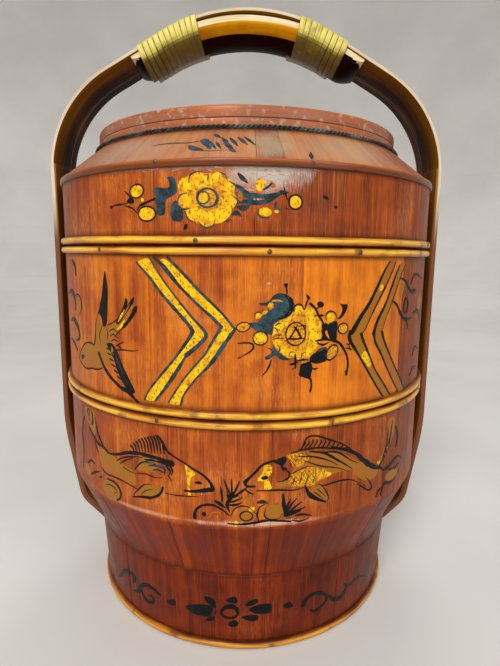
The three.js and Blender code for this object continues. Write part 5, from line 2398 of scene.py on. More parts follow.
BANDS = """
gold 0 -67 88 -60 90.5 -55.6 85.8 -50 78 -41.7 68 -34 59.1 -26.2 50.8 -24 46.6 -29 39.1 -35.6 33.6
 -41.7 23.6 -49.5 12.4 -56.7 3.6 -64 3.5 -61.1 9.7 -52.8 19.7 -43.9 30.2 -35.1 41.9 -31.4 47.6 -32.9 50.8
 -40.6 59.1 -50 68.6 -60 80.2
gold 0 -52 88.5 -48 90 -36.2 80.3 -26.2 70.8 -14.5 59.8 -7 50.4 -12.3 41.8 -20.6 29.6 -30.1 19.4 -37.3 9.4
 -39.5 3 -47 3.4 -39.5 15.8 -31.7 25.8 -24 34.7 -19.5 42.4 -14 51.3 -18.4 55.8 -30 65.8 -39.5 74.7 -48 84
wash 0 99.5 90 94 83.5 82 64.5 75 56 67.5 46 68 40 74 32.5 87 15.5 100 .5 108 .5 90 20.5 78 40.5 76 44.5
 79.5 48.5 93 69.5 106 89.5
wash 0 111 87.5 104 75.5 97 62.5 90 52.5 87 44.5 89 38.5 95 30.5 102 20.5 119 .5 129 .5 113 18.5 98 38.5
 95.4 44.5 98 52.5 109 72.5 119 88
gold 0 77 30.5 80 27 84.5 22.5 86 26 83 30.5 79.5 34
gold 0 oval 92 73.5 2.4 1.6 50
slate 1.2/1.8/2.6 -68.6 88 -60 80.2 -50 68.6 -40.6 59.1 -32.9 50.8 -31.4 47.8
slate 2.6/1.6/1.2 -31.4 48 -35.1 41.9 -43.9 30.2 -52.8 19.7 -61.1 9.7 -65 3
slate 1/1.1/1.8 -58.9 90.5 -55.6 85.8 -50 78 -41.7 68 -34 59.1 -26.2 50.8 -23.6 48
slate 2/2.4/2.8 -24 48.4 -23.4 45.2 -29 39.1 -35.6 33.6
slate 1.4/2.4/1.4 -35.6 33.6 -41.7 23.6 -49.5 12.4 -56.9 3.2
slate 1.4/2.9/1.6 -56 91 -50 86.3 -39.5 74.7 -37 72.5
slate 1.6/1.7/2.2 -38 73.3 -30 65.8 -18.4 55.8 -14 51.3
slate 2.2/1.3/1 -14 51.6 -19.5 42.4 -24 34.7 -31.7 25.8 -39.5 15.8 -47.8 3
slate 1.6/1.8/1.4 -46.8 91.5 -36.2 81.3 -26.2 71.3 -14.5 60.2 -6.2 50.4
slate 1.8/2.6/1.2 -6 50.4 -12.3 41.3 -20.6 29.1 -30.1 19.1
slate 1.2/1.3/1.5 -30.1 19.1 -37.3 9.1 -39.5 2.4
dark 1.2/2.2/3.4 99.5 90 94 83.5 89 75.5 82 64.5 75 56 68.5 46.5
dark 3/1.4/1.4 67 47 67 42 74 32.5 81.5 22.5 87 15.5 93 8 100 .5
dark 1.6 106 89.5 100 79.5 93 69.5 85 58 79.5 48.5 76 44.5
dark 2.4/1.4/1.4 76 45 78 40.5 84 30.5 90 20.5 97 12.5 108 .5
dark 1.2/1.8/3 111 87.5 104 75.5 97 62.5 90 52.5 87 44.5
dark 2.2/1.5/1.3 87 45 89 38.5 95 30.5 102 20.5 110 10.5 119 .5
dark 1.2 119 88 114 81.5 109 72.5 103 61.5 98 52.5 95 44.5
dark 2.2/1.5/1.3 95 45 98 38.5 105 28.5 113 18.5 120 10.5 129 .5
"""
BIRD = """
wash 0 -138 19.2 -131.6 26.9 -123.9 31.8 -115 33 -111 38 -109 45 -106 53 -102 47 -96 46 -93.5 37 -90 30
 -95 22 -102.8 18 -116 15.8 -125 14.3 -132.7 15.8
wash 0 -95 47 -88 50 -83 54 -80 59 -77 57 -78 51 -82 47 -87 41 -93 37
dark 0 -96.2 82 -94.6 76 -93.9 70 -94.6 60 -96.4 48 -100 46.2 -101.6 52 -104.6 55 -102.8 60.2 -100.6 65
 -98.9 72.4
dark 0 -97 35 -91.7 36 -87.2 31.9 -84.6 27 -81.5 21.5 -77.2 14.7 -72.4 6.8 -76.1 5.6 -80.6 9 -84.2 13.6
 -87.4 19 -89.6 24.7 -93 30
dark 0 -87 50 -82.5 56.5 -79.4 62 -77.8 66.2 -76.3 64 -76.8 61 -74.5 64 -71.5 67 -71.4 64 -76 58.5
 -81 52.5 -84.6 49
dark 0 -82.4 47.5 -78 51.5 -75 56 -71.8 60.2 -69.2 61.8 -69.2 58.6 -72.6 54 -77.6 48.8 -80.6 46.6
gold 1.5 -84.6 51 -82 54.5 -79 58.5
gold 1.8 -85.8 45.8 -82 48.5 -78.8 52.6
wash 1 -80 55 -77 59 -74.5 62.5
wash 1 -79 50.5 -75.6 55 -72.6 58.4
slate .9 -90 32 -86.5 25 -82 17 -78 11
dark .6/1.2/1 -104.6 55.6 -108.2 48 -109.4 40.2 -111.7 32.6 -116 33.2 -123.9 32 -131.6 27 -138.2 19.6
dark 1.2/1.3/.9 -138.5 19.2 -132.7 15.6 -125 13.9 -116 15.6 -109 16 -102.8 18
dark 0 oval -130.6 21.3 3.2 1.7 15
dark .9 -101 46 -104.5 40 -103 32
dark .9 -96.4 46 -95.4 41 -97 36
dark .9 -95.6 47.4 -90 49.6 -84 53.4
dark .9 -89 40 -85.4 43.6 -80.4 47.4
dark .9 -93.6 43.6 -89.5 45.6 -86 43.6
dark .9 -93 40.6 -89.4 42.2 -86.4 40.6
dark .9 -92 37.6 -89 38.8 -86.4 37.6
dark .7/1.1/.5 -88 34.6 -84 36.6 -80.4 38.2
dark .9/.8/.4 -87.4 32.2 -80.6 33 -75 33 -69.4 33.8
dark .9 -86 35.6 -83 33.4
dark 1.1 -97.4 32 -92.8 31.6
dark 1.1 -96.4 29 -91.6 28
dark 1.1 -94.6 25.6 -90 24.4
dark 1.1 -92.6 22 -88 20.6
dark 1.1 -90.4 18.6 -86.6 16.8
dark 1.1 -87.6 15 -84 13
dark 2.4/2.4/1.6 -106.2 27.6 -100.6 19.1 -93.9 13 -85 8 -77.2 5 -70.4 .4
dark 1.2 -82 8.6 -76 6 -72 2
wash 0 oval -134 57 5 7 0
dark 1.2 -142 63 -134 64.6 -129 60 -130 54 -136 50
dark 3.5 -160 64 -150 66 -141 60 -142 53
dark 4 -156 44 -148 46 -138 41 -136 34 -144 31
dark 3 -160 30 -150 28 -142 24
dark 3.5 -144 88 -138 84 -137 78
"""
SCROLL = """
wash 0 oval 115.5 72 3 5.5 -15
dark 1/2/3 113.6 79 121 76.6 127 71.8 132 69 139.5 69.6
dark 2.2 130 74.4 134 79.6 140 80.8 150 79.4 160 77
dark 1.8 oval 123.6 60 3.4 5 0
dark 1.2/2.4/1.4 104 64.6 110 61.6 116 55.2 121 51.6 127 50.4 136 50.6
dark 1.8 124.6 50.4 128 47 129.4 43.6
dark 2.4 139 53.6 146 54.4 154 52.4 160 46
dark 2.6 144 22 150 27 162 24
dark 2.6 140 8 150 12 160 10
wash 0 oval 153 60 6 5 0
"""
LID_FLOWER = """
slate 0 -55.8 24.4 -52.8 26.8 -47.8 26.2 -44.6 27 -45.4 30.6 -46.2 32.2 -42.2 32.2 -40.6 28.8 -40.2 23.8
 -43.3 21.8 -47.2 19.4 -47.8 15.4 -48.3 11.5 -52.8 11.5 -53.3 16.6 -54.4 19.9 -53 22.1
slate 0 -43.6 16.8 -41.1 19.4 -39.2 17.7 -36.7 13.2 -37.1 8.1 -42.2 7.8 -44.5 11 -44.1 13.8
amber 0 -39 25 -36 31 -31 33.5 -27 34.5 -22 33.5 -17 34 -12 31 -7.5 28 -6.5 23 -5.5 18 -8 14 -12 9.5 -18 6
 -23 4.4 -28 6.5 -33 8.5 -35 13 -39 17 -38 21
gold 0 -39.6 27 -38.5 30 -36 31.6 -33.5 30.5 -31.6 31.5 -31.4 28 -32 24.5 -35 23.6 -38 24
gold 0 -39.2 19 -38 21.8 -35 22.6 -32.2 21.6 -31.6 18.4 -32.6 15.6 -36 15 -38.4 16.4
gold 0 -34.8 13.4 -34 9.6 -30.6 7.8 -27.4 8 -24 10.6 -24.6 13.6 -27.6 14.8 -31 14.4
gold 0 -27 7.4 -25 5 -21.6 4.4 -18.6 6.4 -18.4 10 -20.6 12.6 -24 12.4 -26.4 10.4
gold 0 -18 6.6 -14 7 -10.6 9.6 -8.4 12.4 -9 16 -13 16.4 -16.4 14.4 -18 11
gold 0 -13.4 17 -9 15.6 -6 17 -5.4 20 -7.4 22.6 -11 24 -14 22.6
gold 0 -13 24.6 -9 24 -6.4 26 -7.6 29 -10.6 30.8 -14 29 -15.4 26.6
gold 0 -20.6 30 -18.6 33.6 -15 34.4 -12 32.6 -12.6 28.8 -16 27 -19.6 27.6
gold 0 -31 28 -30.6 32 -27.6 34.2 -24 33 -21.6 30 -22.6 27 -27 26.4
gold 0 oval -24.6 20.6 3.4 3.2 0
gold 0 oval -66.9 25.2 4.8 3.6 10
gold 0 oval -60 12.2 5.8 4 0
gold 0 5.4 30.6 8 30.4 11 30 10 27.4 8 24.4 5.6 25
gold 0 oval 10.6 13 3.7 2.4 -5
gold 0 oval 27.8 18.8 3.4 3.4 0
wash 0 oval 14.4 27.7 1.9 1.4 -30
gold 0 oval 17 13.4 1.3 .9 0
gold 0 oval -62.8 20.2 1 1 0
wash 0 oval -66.6 17.8 1.6 1 0
slate .9 -32.8 28.8 -32.2 32.7 -28.9 34.5 -26 34.6
slate 1 -39.6 19.6 -37.8 22.3 -34.4 23.2
slate 1.1 -38.5 15 -35 14.3 -32.6 14.9
slate .9 -35 13 -33.5 9 -28.9 7
slate 1 -27.3 7 -23.3 4.1 -18.9 5.4 -17.6 9.6
slate .9 -10 29.6 -6.3 27 -6.7 23.2
slate .9 -7.8 21.6 -4.8 18.8 -6.7 14.6
slate .8 -15.6 34.4 -12.2 32.9 -10.6 29.3
slate .9 -22 30 -21.4 33.2
slate 1.2 oval -22.2 20.4 5.6 5.2 0
slate 1.3 -17.4 24 -16 20 -18 16.4 -21 15
slate .8 oval -24.4 20.6 3.4 3.3 0
slate .8 -27 24.6 -28.4 21 -27.4 17
dark .9 oval -66.9 25.2 5 3.8 10
dark 1 oval -60 12.2 6 4.2 0
dark .9 oval 27.8 18.8 4 4 0
dark 1.4 25 22.4 24 19 25 15.4
dark 0 -74.6 19.6 -72 21.8 -69.4 21 -68.6 19 -71.4 18.2
dark 1.3/1.3/1.1 -64.6 17 -59.4 18.8 -54 20.6
dark 1 -88 16.8 -85 17.6 -82.2 18 -75.6 18.4 -72 19.4
dark 0 oval -87.6 16.8 1.1 1 0
dark .9 -75.8 17.2 -70 15.4 -66.1 12
dark .9 -75.8 25.6 -72.6 23 -70.6 21
dark .9 -67 14.4 -64.6 16.8
dark 1.2 -62.4 18 -61.6 16.8
slate 2.6 -4.6 33.4 -2.4 31 .6 28.6
slate 3.2 -5.6 27 -1 24 2 22
slate 3.6 -5 23 3 21.4 10 21.2 18 23.4
slate 3.2 -4.4 18.6 4 18.4 12 19.4 21 24
slate 3.4 -4.6 15.4 -1 15 1.6 16.6
slate 2.6 -8 11.6 -5.4 12.4 -3 10.6
slate 2.8 -11 7.6 -9 8.6
slate 1.4 14 28.6 11.6 26.4 9 25
slate 2.2 19 24.4 21.6 23.4 23.6 24
slate 1.6 16.6 18.6 16.4 15.4 20 14.6
slate 1 6.7 14.4 6.5 11.6 9.4 9.8 13.4 10.2
dark .8 21 27 22.6 21 24.6 19
dark .9 23.8 14.6 22 15.4
dark 0 -36.6 3 -35.4 6 -34 6.2 -34.4 3.2
dark .5 4.6 .4 4.4 7 4.8 13
dark 0 oval 46.2 22 2 1 -25
dark 0 oval 53 17 1 .8 0
wash 0 oval -3.6 21.4 1.4 3 10
scuff 1.2 -1 25.4 4 24.4
scuff 1 4 19.8 10 20
scuff .9 -3 29.6 1 27
"""
CARP = """
wash 0 -112 38 -104 36 -96 34.6 -88 32 -80 29.6 -75 27 -74 20 -80 17.6 -92 19 -104 20 -110 26
wash 0 oval -98.3 9 10.6 6.6 0
wash 0 -75 11.4 -70 17 -65 21.4 -58 22.6 -54.4 21 -57 15.4 -63 13
gold 0 -37.4 40.2 -35.4 38.2 -30.4 34.2 -33.2 32 -34.2 27.3 -33.8 19.6 -35.4 19.4 -36 30.7
wash 0 -131 60 -116 60.4 -114 50 -117 43 -122 47 -128 52
dark 0 -127 60 -119 60 -117.4 52 -121 49.6 -126 54
wash 0 -69.5 38.4 -63.4 39.8 -56.8 39.4 -57 34 -58 31.6 -66 30.6 -72.5 30.4
dark 0 -57 40.6 -50 41.2 -45.6 41 -44.2 38.8 -46.4 36.6 -50 37.2 -53.6 38
dark 1.5 -50.4 37 -47.4 33.6 -48.8 30
dark 1.3 -47.6 37 -45.6 34.2 -46.8 31.2
slate 1.5 -53.6 37.2 -51 34 -51.8 30.6
dark 1.6 -66 38.4 -60 39 -54 38.4
slate 1.8 -63 35 -58 36 -52 34.8
slate 1.5 -60 32.4 -56 33.4 -51 31.8
slate 1.2 -68 40.4 -60 40.6 -52 40
slate 1.2 -67 36.4 -63 37 -58 37.4
dark 1/2.4/1.6 -100 34.8 -95.6 35.2 -87.8 37.3 -80 40.2 -68.9 41.8 -57.8 41.4 -48.9 40.4
dark 1.2 -91.4 31.6 -84.5 35.7 -74.5 38.6 -68 39.4
dark 1.2 -88 30.6 -82.2 34.4 -75.6 37.4
dark .8 -85.6 28.9 -80 27.6 -74 26.8
dark 1.2 -74.6 29.6 -70 35 -63.4 38.1
dark .9 -73 27.4 -66 28.6 -58 27.6 -53 28.6
dark .8 -48.9 30.8 -46.7 27.2
dark .8/1.4/.6 -109.6 21.4 -103 19 -94.5 19.2 -85.6 18.8 -73 16.4
dark .8/2/1.4 -77 10 -68.9 12 -62.3 12.9 -56.7 15.7 -53.9 19 -53 22
dark .9 -76.4 11.6 -71.1 17.3 -66.7 21.2 -61 22.2
dark .8 -70 13.4 -66 17 -60 19.4
dark .8 -51.4 18.4 -44.5 18.2 -35.6 18.7 -27.9 19.2
dark 1.2/1.2/2 -48 45.8 -43.4 43.4 -37.8 40.7 -32.3 37.6 -25.6 34 -21.2 29.6 -19.2 25.5
dark 1/2/3.2 -37.8 22.2 -31.2 22.6 -24.5 24 -19.8 25
scuff .8 -27 21.2 -21.2 22.4
dark 0 -31.4 28.4 -28.6 29.8 -26 28.3 -28.8 27.6
dark 1.2/2.2/1.6 -54.4 54.6 -52.4 52 -50.6 48.4 -47.6 45.6
dark 1 -58 56 -55.4 55.8 -53 53.6
dark 1.6/2.2/1.8 -100 34.9 -105.5 37.3 -113.3 38.6 -117.8 41.8 -124.8 46
dark 2 -106 38.6 -110 43 -113.3 48.6 -115 58
dark 1.2 -117 38.6 -114.6 34.6 -112 31.6
dark 2 -126 10.5 -117.8 15.1 -111 18.1
dark 1.2 -113.3 12.9 -107.6 15.2
dark 1/1.8/1.6 -102.4 15.2 -94.5 15.2 -89.3 11.8 -88.7 6.2 -92.4 2.8
dark 1 -104.6 10.6 -97.8 11.9 -92 9.5 -96 6.4
dark 2.6 -134 52 -139 40 -138 24 -142 10
dark 2.2 -130 18 -124 22 -118 21
wash 0 oval -130 13 5 4 0
dark 2.4/1.6/.9 -31.2 4.9 -30.6 9.6 -26.7 13.4 -20.1 14.6 -13.4 11.8 -9.4 8.2
dark 0 oval -25.1 7.9 1.5 1.4 0
wash 1 -21.6 6 -19.4 9.6 -15 9.8 -14 6.6
dark 1.5 -13.4 17.2 -13.8 22 -14.6 27.6
dark 1.5 -8.4 22.6 -10.6 26.8 -12.4 32
dark 1.4 -7.7 22.6 -7.6 27 -7.9 32.4
dark 1.7 -6.4 22.6 -4.4 27 -2.8 31.4
dark 1.6 -4.8 22.2 -1.4 24.4 2.1 27.4
dark 2.6/3.2/1.4 -7 23 -8.6 20.6 -4 21.8
dark 1.6 -9.4 18.6 -10 21.4 -10.2 24.6
dark 2.2 -17.9 17.4 -14 15 -11.6 13.2
dark 2.4/2.4/.8 -8.4 19.6 -10.4 15.4 -9 10.6
dark 1.7 -9 15.1 -5 15.4 -1 17
dark 1.4 -8.4 17 -5 18.2 -1 20.3
wash 0 oval 1.8 8.2 5.8 4.8 0
wash 0 oval 18.9 9.6 6.6 5.8 0
gold 0 oval 5 12.6 2 1.7 30
gold 0 oval -4.6 2.6 1.2 2.2 0
dark 1 oval 1.6 8 4 3.2 0
dark .9 -8 8 -6 12.4 -2 14.6 3 14 8 9
wash 1.2 4 21 1.4 17 5 15
dark 1.2 9.4 4.4 8.4 9 9.8 13.6 13 15.6
dark 1 13.6 12.6 13 8 16 5.4 22 5.6 24.6 9
slate 2.6 8.6 17 12 17.4 15 16.4
dark .8/1.6/1.2 -10 2.6 -2 2.4 7 3.4 14 4.6 22 4 30 2.8
dark 2.6 24.6 21.6 25.3 14 26 6.6
dark 3/3.4/1.4 26.4 7.6 30 8.6 36 9.6
dark 1.4 26.6 9 27.6 14 30 18.6
dark 1.4 27 9 29.6 13.6 33.5 18
dark 1.4 28 8.6 32 12 37 15.2
dark 1.4 28.6 8.6 34 9.8 39.4 11.4
dark 1.5 33 6.4 38 6.6 44 5
dark 1.2 31 3.4 36 2.2 42 3.4
wash .9 36 13 42 13.4 50 11
"""
CARP_RIGHT = """
wash 0 26 47.6 34 49 42 48.4 52 46.6 62 44.6 72 40 80 34 74 31 64 31.6 57 30 52 28.6 45 25.6 38 25.4 28 27
 28.4 34 31 38 29.6 42
amber 0 29 34.6 34.4 37 41 38.6 47 37 50.6 34 57.4 31.6 54 29.4 48.6 28.4 44.6 25.8 38 25.8 28.6 27.4
gold 0 50 34.5 52 35.6 53.4 33.4 57.4 32 56 30 52.4 30 49.4 31.4
gold 0 36 29 42 28 46 31 44 35 39 34
amber 0 27 47 33 48 38 46.4 41 43.6 36 40 31 39.4 29 43
wash 0 42 22 46.2 24.2 50.2 27 53.2 20 55.6 14 52 13 46 17
gold 0 12.2 41.4 16.7 41 17 36.2 15 32.9 17.2 26.2 12.8 25.6 12 30.7 7.8 31.8 11.1 36.2
wash 0 80 35 90 29 99 24.6 96 19.6 88 19.6 80 24 74 30
dark 0 18 43.4 22 45.8 25.6 46.6 26.2 43.4 24.2 40.2 27.2 38.4 23.5 37.5 22.4 41
wash 0 oval 23.6 28.6 4 2.6 10
dark 2/1.6/1.2 .4 30.5 3.3 33.4 7.2 37.3 10 40.7 14 43 19 44.4
dark 1.4 26 37.6 28.4 35.4 28.2 32.8 25 30.8 21 30.2
dark 2.2/1.4/.8 .8 30.4 1 28.4 4 27.6 7 27.8
dark 1.2 .6 26 3.6 23.4 6 22.6
dark 1.2 8 24.8 15 24.9 23.3 24.6 32.2 23.8 38 25
dark 0 oval 12.8 33.3 2.3 1.3 6
dark 1 28.9 34.6 34.4 36.9 40 38.5 45 38
dark .8 31 28 32 33
dark .8 35 27.4 36.4 34
dark .8 39 27 41.4 34
dark .8 44 28 46.4 33.6
dark 1.2 35.8 50.4 38.3 56.2 41.1 58.4 46.7 57.9 52.2 55.7 58.9 52.9 65.6 49.6 72.2 45.1 78 40.6
dark 1.2 28.9 48.4 37.8 50.1 47.8 50.1 56.7 48.4 65.6 45.7 73 42.4
dark 1/2.2/3.8 56.7 49.6 67.8 45.7 76.7 41.2 82.2 36.2 88 31.4
dark 3.8/3.4/1.4 86 33.4 92 29 98.9 25.7 103 24.8
dark 1.8 42.2 48.4 52.2 45.7 61.1 40.1 67.8 35.7 73.6 31.6
dark 1.3 50 46.8 61.1 45.1 72.2 37.9 79 34
dark 1 37.8 42.9 48.9 37.9 61.1 34.6 70 30.7
dark 1.2 34 46 44 44.6 54 41 62 36.4
dark 1.1 48 25.6 53.3 24.2 62.2 25.1 72.2 24.2 78.9 20.7 82 18.6
dark 1.2/2.8/1.4 38.9 25.9 41.7 20.1 46.7 16.2 53.5 12.8
dark 1 50 25.1 53.9 19.6 55.8 14.4 53.4 12.8
dark .8 45 21 48 18.6 52 15
dark .8 47 23 50 20 53.6 16.4
dark 1.3 79.6 19.2 84.4 15.7 90 12 93.4 12.8 92.2 16.2 88.9 20.1 86.4 22.4
dark .9 84 18 87 15.6
gold 0 oval 99.6 29.6 1.7 1.5 0
wash 0 109 58 117 57 115.6 44 110 37 103 30 100 31.6 105 38 108.6 46
dark 3.2 101 27 107 34 112 44 114 56
dark 1.6 104 33 108 41 109.6 52
dark 2.6 100 26 107 22 116 23.6 126 26 134 22
dark 2.4 112 21 120 18 128 20
wash 0 oval 118 14.6 9 4 -5
dark 2.4 104 4 108 11 118 9.4 130 14
dark 2.4 120 50 124 42 122 34
dark 1.8 99 4.4 101 8 106 9
"""
FOOT_ORNAMENT = """
dark 0 -41.8 23 -36.4 26.3 -28.6 27.8 -21.2 27.4 -22 22.3 -24.8 18.5 -34.3 18.2 -39.3 20.3
dark 0 -27.3 34.9 -22.1 34.6 -19.1 30.9 -19.1 26.4 -22.9 28.5 -26.6 31.6
dark 0 -26.6 14.5 -21.4 15.5 -19.8 18.9 -23.6 18.9 -25.4 16.8
dark 0 -11.9 34.1 -7.1 36.8 -4.4 36.1 -3.8 32.2 -7.1 31.4 -11 32.4
dark 0 -10.9 14.1 -6.4 17.5 -2.9 15.1 -4.5 12.2 -7.9 11.5
dark 0 1.2 30 5 33.9 10 34.9 10.4 32.2 7.1 30 3.6 29.2
dark 0 4.2 26.4 8.6 29.6 14 30.4 19.4 30.2 20.2 25.9 19.4 22.6 12.9 22.2 7.1 23.6
dark 0 -.9 20.4 4.3 21.7 10.3 21.4 10.9 18 7.1 16.4 2.1 17.8
dark 0 -58 21.9 -55 24.5 -50.2 26 -49.8 21.6 -53.6 20.3
dark 0 28.8 27.4 32.9 29.5 35.8 26.6 35 24.3 30 24.6
dark 2.2 oval -9.4 23.4 6 4.4 0
dark 1.6/3.8/1.6 -14.6 25.6 -11 28.4 -7 29 -3.4 26.8
dark 1.2 -18.8 24.4 -19.4 21.4
dark 1.1/4.1/1.9 -93 14.9 -86.4 18 -82.1 24.4 -77.1 28.2 -70.7 28.5 -63.4 25.5
dark 1.6/3.5/2.2 -82.4 21.4 -80.7 16.6 -75.7 14.1 -70.7 15.9 -70 19.6 -73 20.6
dark 1.1/3.2/4.1 -118 13 -110 20.1 -102.9 27.3 -96.4 29.7 -90 28.7 -91.4 24.4
dark 4.1/3.2/2.4 44.1 23.5 46.4 28.5 51.4 30.7 58.6 29.7 63.6 25.1
dark 2.4/2.7/1.9 63.6 25.3 63.6 20.9 58.6 16.6 53.6 15.4 50.5 17.8
dark 2.2/3.8/1.9 66.2 24 70.7 19.4 77.9 17.1 82.9 20.9 84.3 24.4 81.2 27.8
dark 1.9 85.5 23 94.3 24.4 102.9 23 112 18.4
"""
SPRAY = """
slate 0 -33.8 14.8 -30 13.5 -23.6 8.9 -28.8 8.2 -32.7 10.3
slate 0 -28.3 20.3 -23.8 21.7 -19.8 12.1 -20.6 9.4 -23.8 13.2 -26.9 17
slate 2.4 -22 18.4 -19.6 14.4 -17 9.8
slate 3.2 -20.4 26.8 -18.6 25 -16 22.6
slate 2.8 -15 22.4 -12.6 18.4 -9.8 13.6
slate 2.6 -10.2 22.4 -8 18.4 -5.2 13
slate 2.4 -5.2 23 -2.6 18.8 .4 14.2
slate 2.4 -1.4 23.6 1.6 19 4.6 14.4
slate 3.2 -12.8 16.2 -10 12.6 -7.4 9.4
slate 3.4 -9.6 10.4 -8 8 -6 6.4
slate 2.2 -17.8 17.4 -16 13.4 -14.2 10
slate .8/1.5/.8 -59 17.2 -47.5 18.4 -35 17.8 -29 19.4
slate 1 -30 9 -20 7.6 -10 8.4
dark 2.8 34 1.6 34.6 5 35.4 9
"""


def fin_rays(feet: Sequence[Point], tips: Sequence[Point], width: float) -> list[Mark]:
    """Draws a fin's rays, hooked at their tips.

    Args:
        feet: Feet of the first, the middle and the last ray.
        tips: Their tips.
        width: Their width.

    Returns:
        The marks.
    """
    marks = []
    count, knee_share, hook = 11, 0.7, Vector((0.9, 0.2))
    for k in range(count):
        turn = 2 * k / (count - 1) - 1
        ends = []
        for first, middle, last in (feet, tips):
            bow = Vector(middle) * (1 - turn ** 2) + Vector(first) * turn * (turn - 1) / 2
            ends.append(bow + Vector(last) * turn * (turn + 1) / 2)
        foot, tip = ends
        knee = foot.lerp(tip, knee_share) + hook
        marks.append(Mark(Paint.DARK, (width * 0.5, width, width * 1.1), (foot, knee, tip)))
    return marks


def scales(corner: Point, columns: int, rows: int, size: float, tilt: float) -> list[Mark]:
    """Draws rows of a fish's scales.

    Args:
        corner: The first scale's place.
        columns: How many scales a row has.
        rows: How many rows there are.
        size: A scale's width.
        tilt: Degrees that the rows lean.

    Returns:
        The marks.
    """
    marks, width, row_share = [], 0.5, 0.75
    bow_shares = ((-0.1, 0.8), (0.8, 0), (-0.1, -0.8))
    lean = Matrix.Rotation(math.radians(tilt), 2)
    for row in range(rows):
        for column in range(columns):
            middle = Vector(((column + row % 2 / 2) * size, row * size * row_share))
            bow = [lean @ (middle + Vector(share) * size / 2) for share in bow_shares]
            marks.append(Mark(Paint.DARK, thinned(width), [(corner[0] + x, corner[1] + y) for x, y in bow]))
    return marks


def upright(foot: float, height: float) -> tuple[Point, Point]:
    """Gives the edges of a painted stretch of the tiers' straight wall.

    Args:
        foot: Height of its lower edge.
        height: How high it reaches over that.

    Returns:
        Both edges as (radius, height).
    """
    return (TIER_RADIUS, foot), (TIER_RADIUS, foot + height)


def paint_basket(foot: Foot, walls: dict[str, StaveWall]) -> None:
    """Paints the basket's front, in the order from the foot up.

    Args:
        foot: The foot, which knows its own radius.
        walls: The painted walls.
    """
    finishes = {paint: finish.make() for paint, finish in (
        (Paint.DARK, LacquerPaint("blue-black oil lacquer", "#060a0a", "#0d1718", "#2c1a0c", 0.62)),
        (Paint.SLATE, LacquerPaint("slate-blue oil lacquer", "#18292e", "#35545e", "#4a3426", 0.58)),
        (Paint.GOLD, LacquerPaint("gold oil lacquer", "#eebd0a", "#cb860c", "#6b3c10", 0.55)),
        (Paint.AMBER, LacquerPaint("thin gold lacquer", "#dc9c18", "#c47418", "#8a4412", 0.5)),
        (Paint.WASH, LacquerPaint("tarnished gold lacquer", "#8e6a10", "#a4581a", "#a85a20", 0.46, patch=10)),
        (Paint.SCUFF, LacquerPaint("chalky scuffed lacquer with painted highlights", "#cfae98", "#a8745a", "#93481f", 0.46)),
    )}
    ridge = LowerTier.bevel_height + extent("lower_tier_wall").low
    middle_foot = extent("middle_tier_bottom_hoop").high
    lid_foot = extent("lid_hoop").high
    slope_foot, slope_top, _ = extent("lid_shoulder")
    slope_foot += Lid.shoulder_land
    collar = extent("lid_collar_band").radius + Lid.collar_land
    foot_edges = [(foot.radius_at(height), height) for height in (6, 59)]
    left_tips = ((-77.6, 45.6), (-65.8, 53), (-54.4, 55))
    left_fin = fin_rays(((-75, 42.6), (-63, 43.8), (-51.4, 44.6)), left_tips, 1.2)
    right_fin = fin_rays(((35, 50.4), (50, 50.4), (66, 46)), ((38, 55), (52, 54.6), (69, 47.6)), 0.7)
    right_scales = scales((28.5, 40.5), 6, 4, 2.4, 8) + scales((29.5, 28.5), 6, 4, 2.6, 4)
    carps = read_marks(CARP) + read_marks(CARP_RIGHT) + left_fin + right_scales + right_fin
    # Short pale strokes: painted highlights along the lower tier's ridge, and whitish scuffs with a painted
    # reflection at the top of the lid.
    ridge_highlights = (((12, 1.4), (34, 0.9), 16, (5, 0.4)), ((-60, 1.8), (50, 0.8), 6, (4, 0.4)))
    lid_scuffs_and_sheen = (((12, 31), (20, 5), 50, (3.6, 0.6)), ((-20, 36), (60, 1), 24, (5, 0.4)))
    for name, wall, (lower, upper), around, body, marks, scuffs_and_highlights in (
        ("foot", "foot", foot_edges, foot.radius_at(32), Body.LOWER_TIER, read_marks(FOOT_ORNAMENT), ()),
        ("carp", "lower", upright(ridge, 60), TIER_RADIUS, Body.LOWER_TIER, carps, ridge_highlights),
        ("peony", "middle", upright(middle_foot, 90), TIER_RADIUS, Body.MIDDLE_TIER,
         read_marks(BANDS + PEONY + BIRD + SCROLL), ()),
        ("lid", "lid", upright(lid_foot, 38), TIER_RADIUS, Body.LID, read_marks(LID_FLOWER), lid_scuffs_and_sheen),
        ("shoulder", "shoulder", ((TIER_RADIUS, slope_foot), (collar, slope_top)), (TIER_RADIUS + collar) / 2,
         Body.LID, read_marks(SPRAY), ()),
    ):
        work = Brushwork(f"{name}_brushwork", walls[wall], lower, upper, around, body)
        for centre, reach, count, size in scuffs_and_highlights:
            work.scuff(centre, reach, count, size)
        work.draw(marks)
        work.finish(finishes)


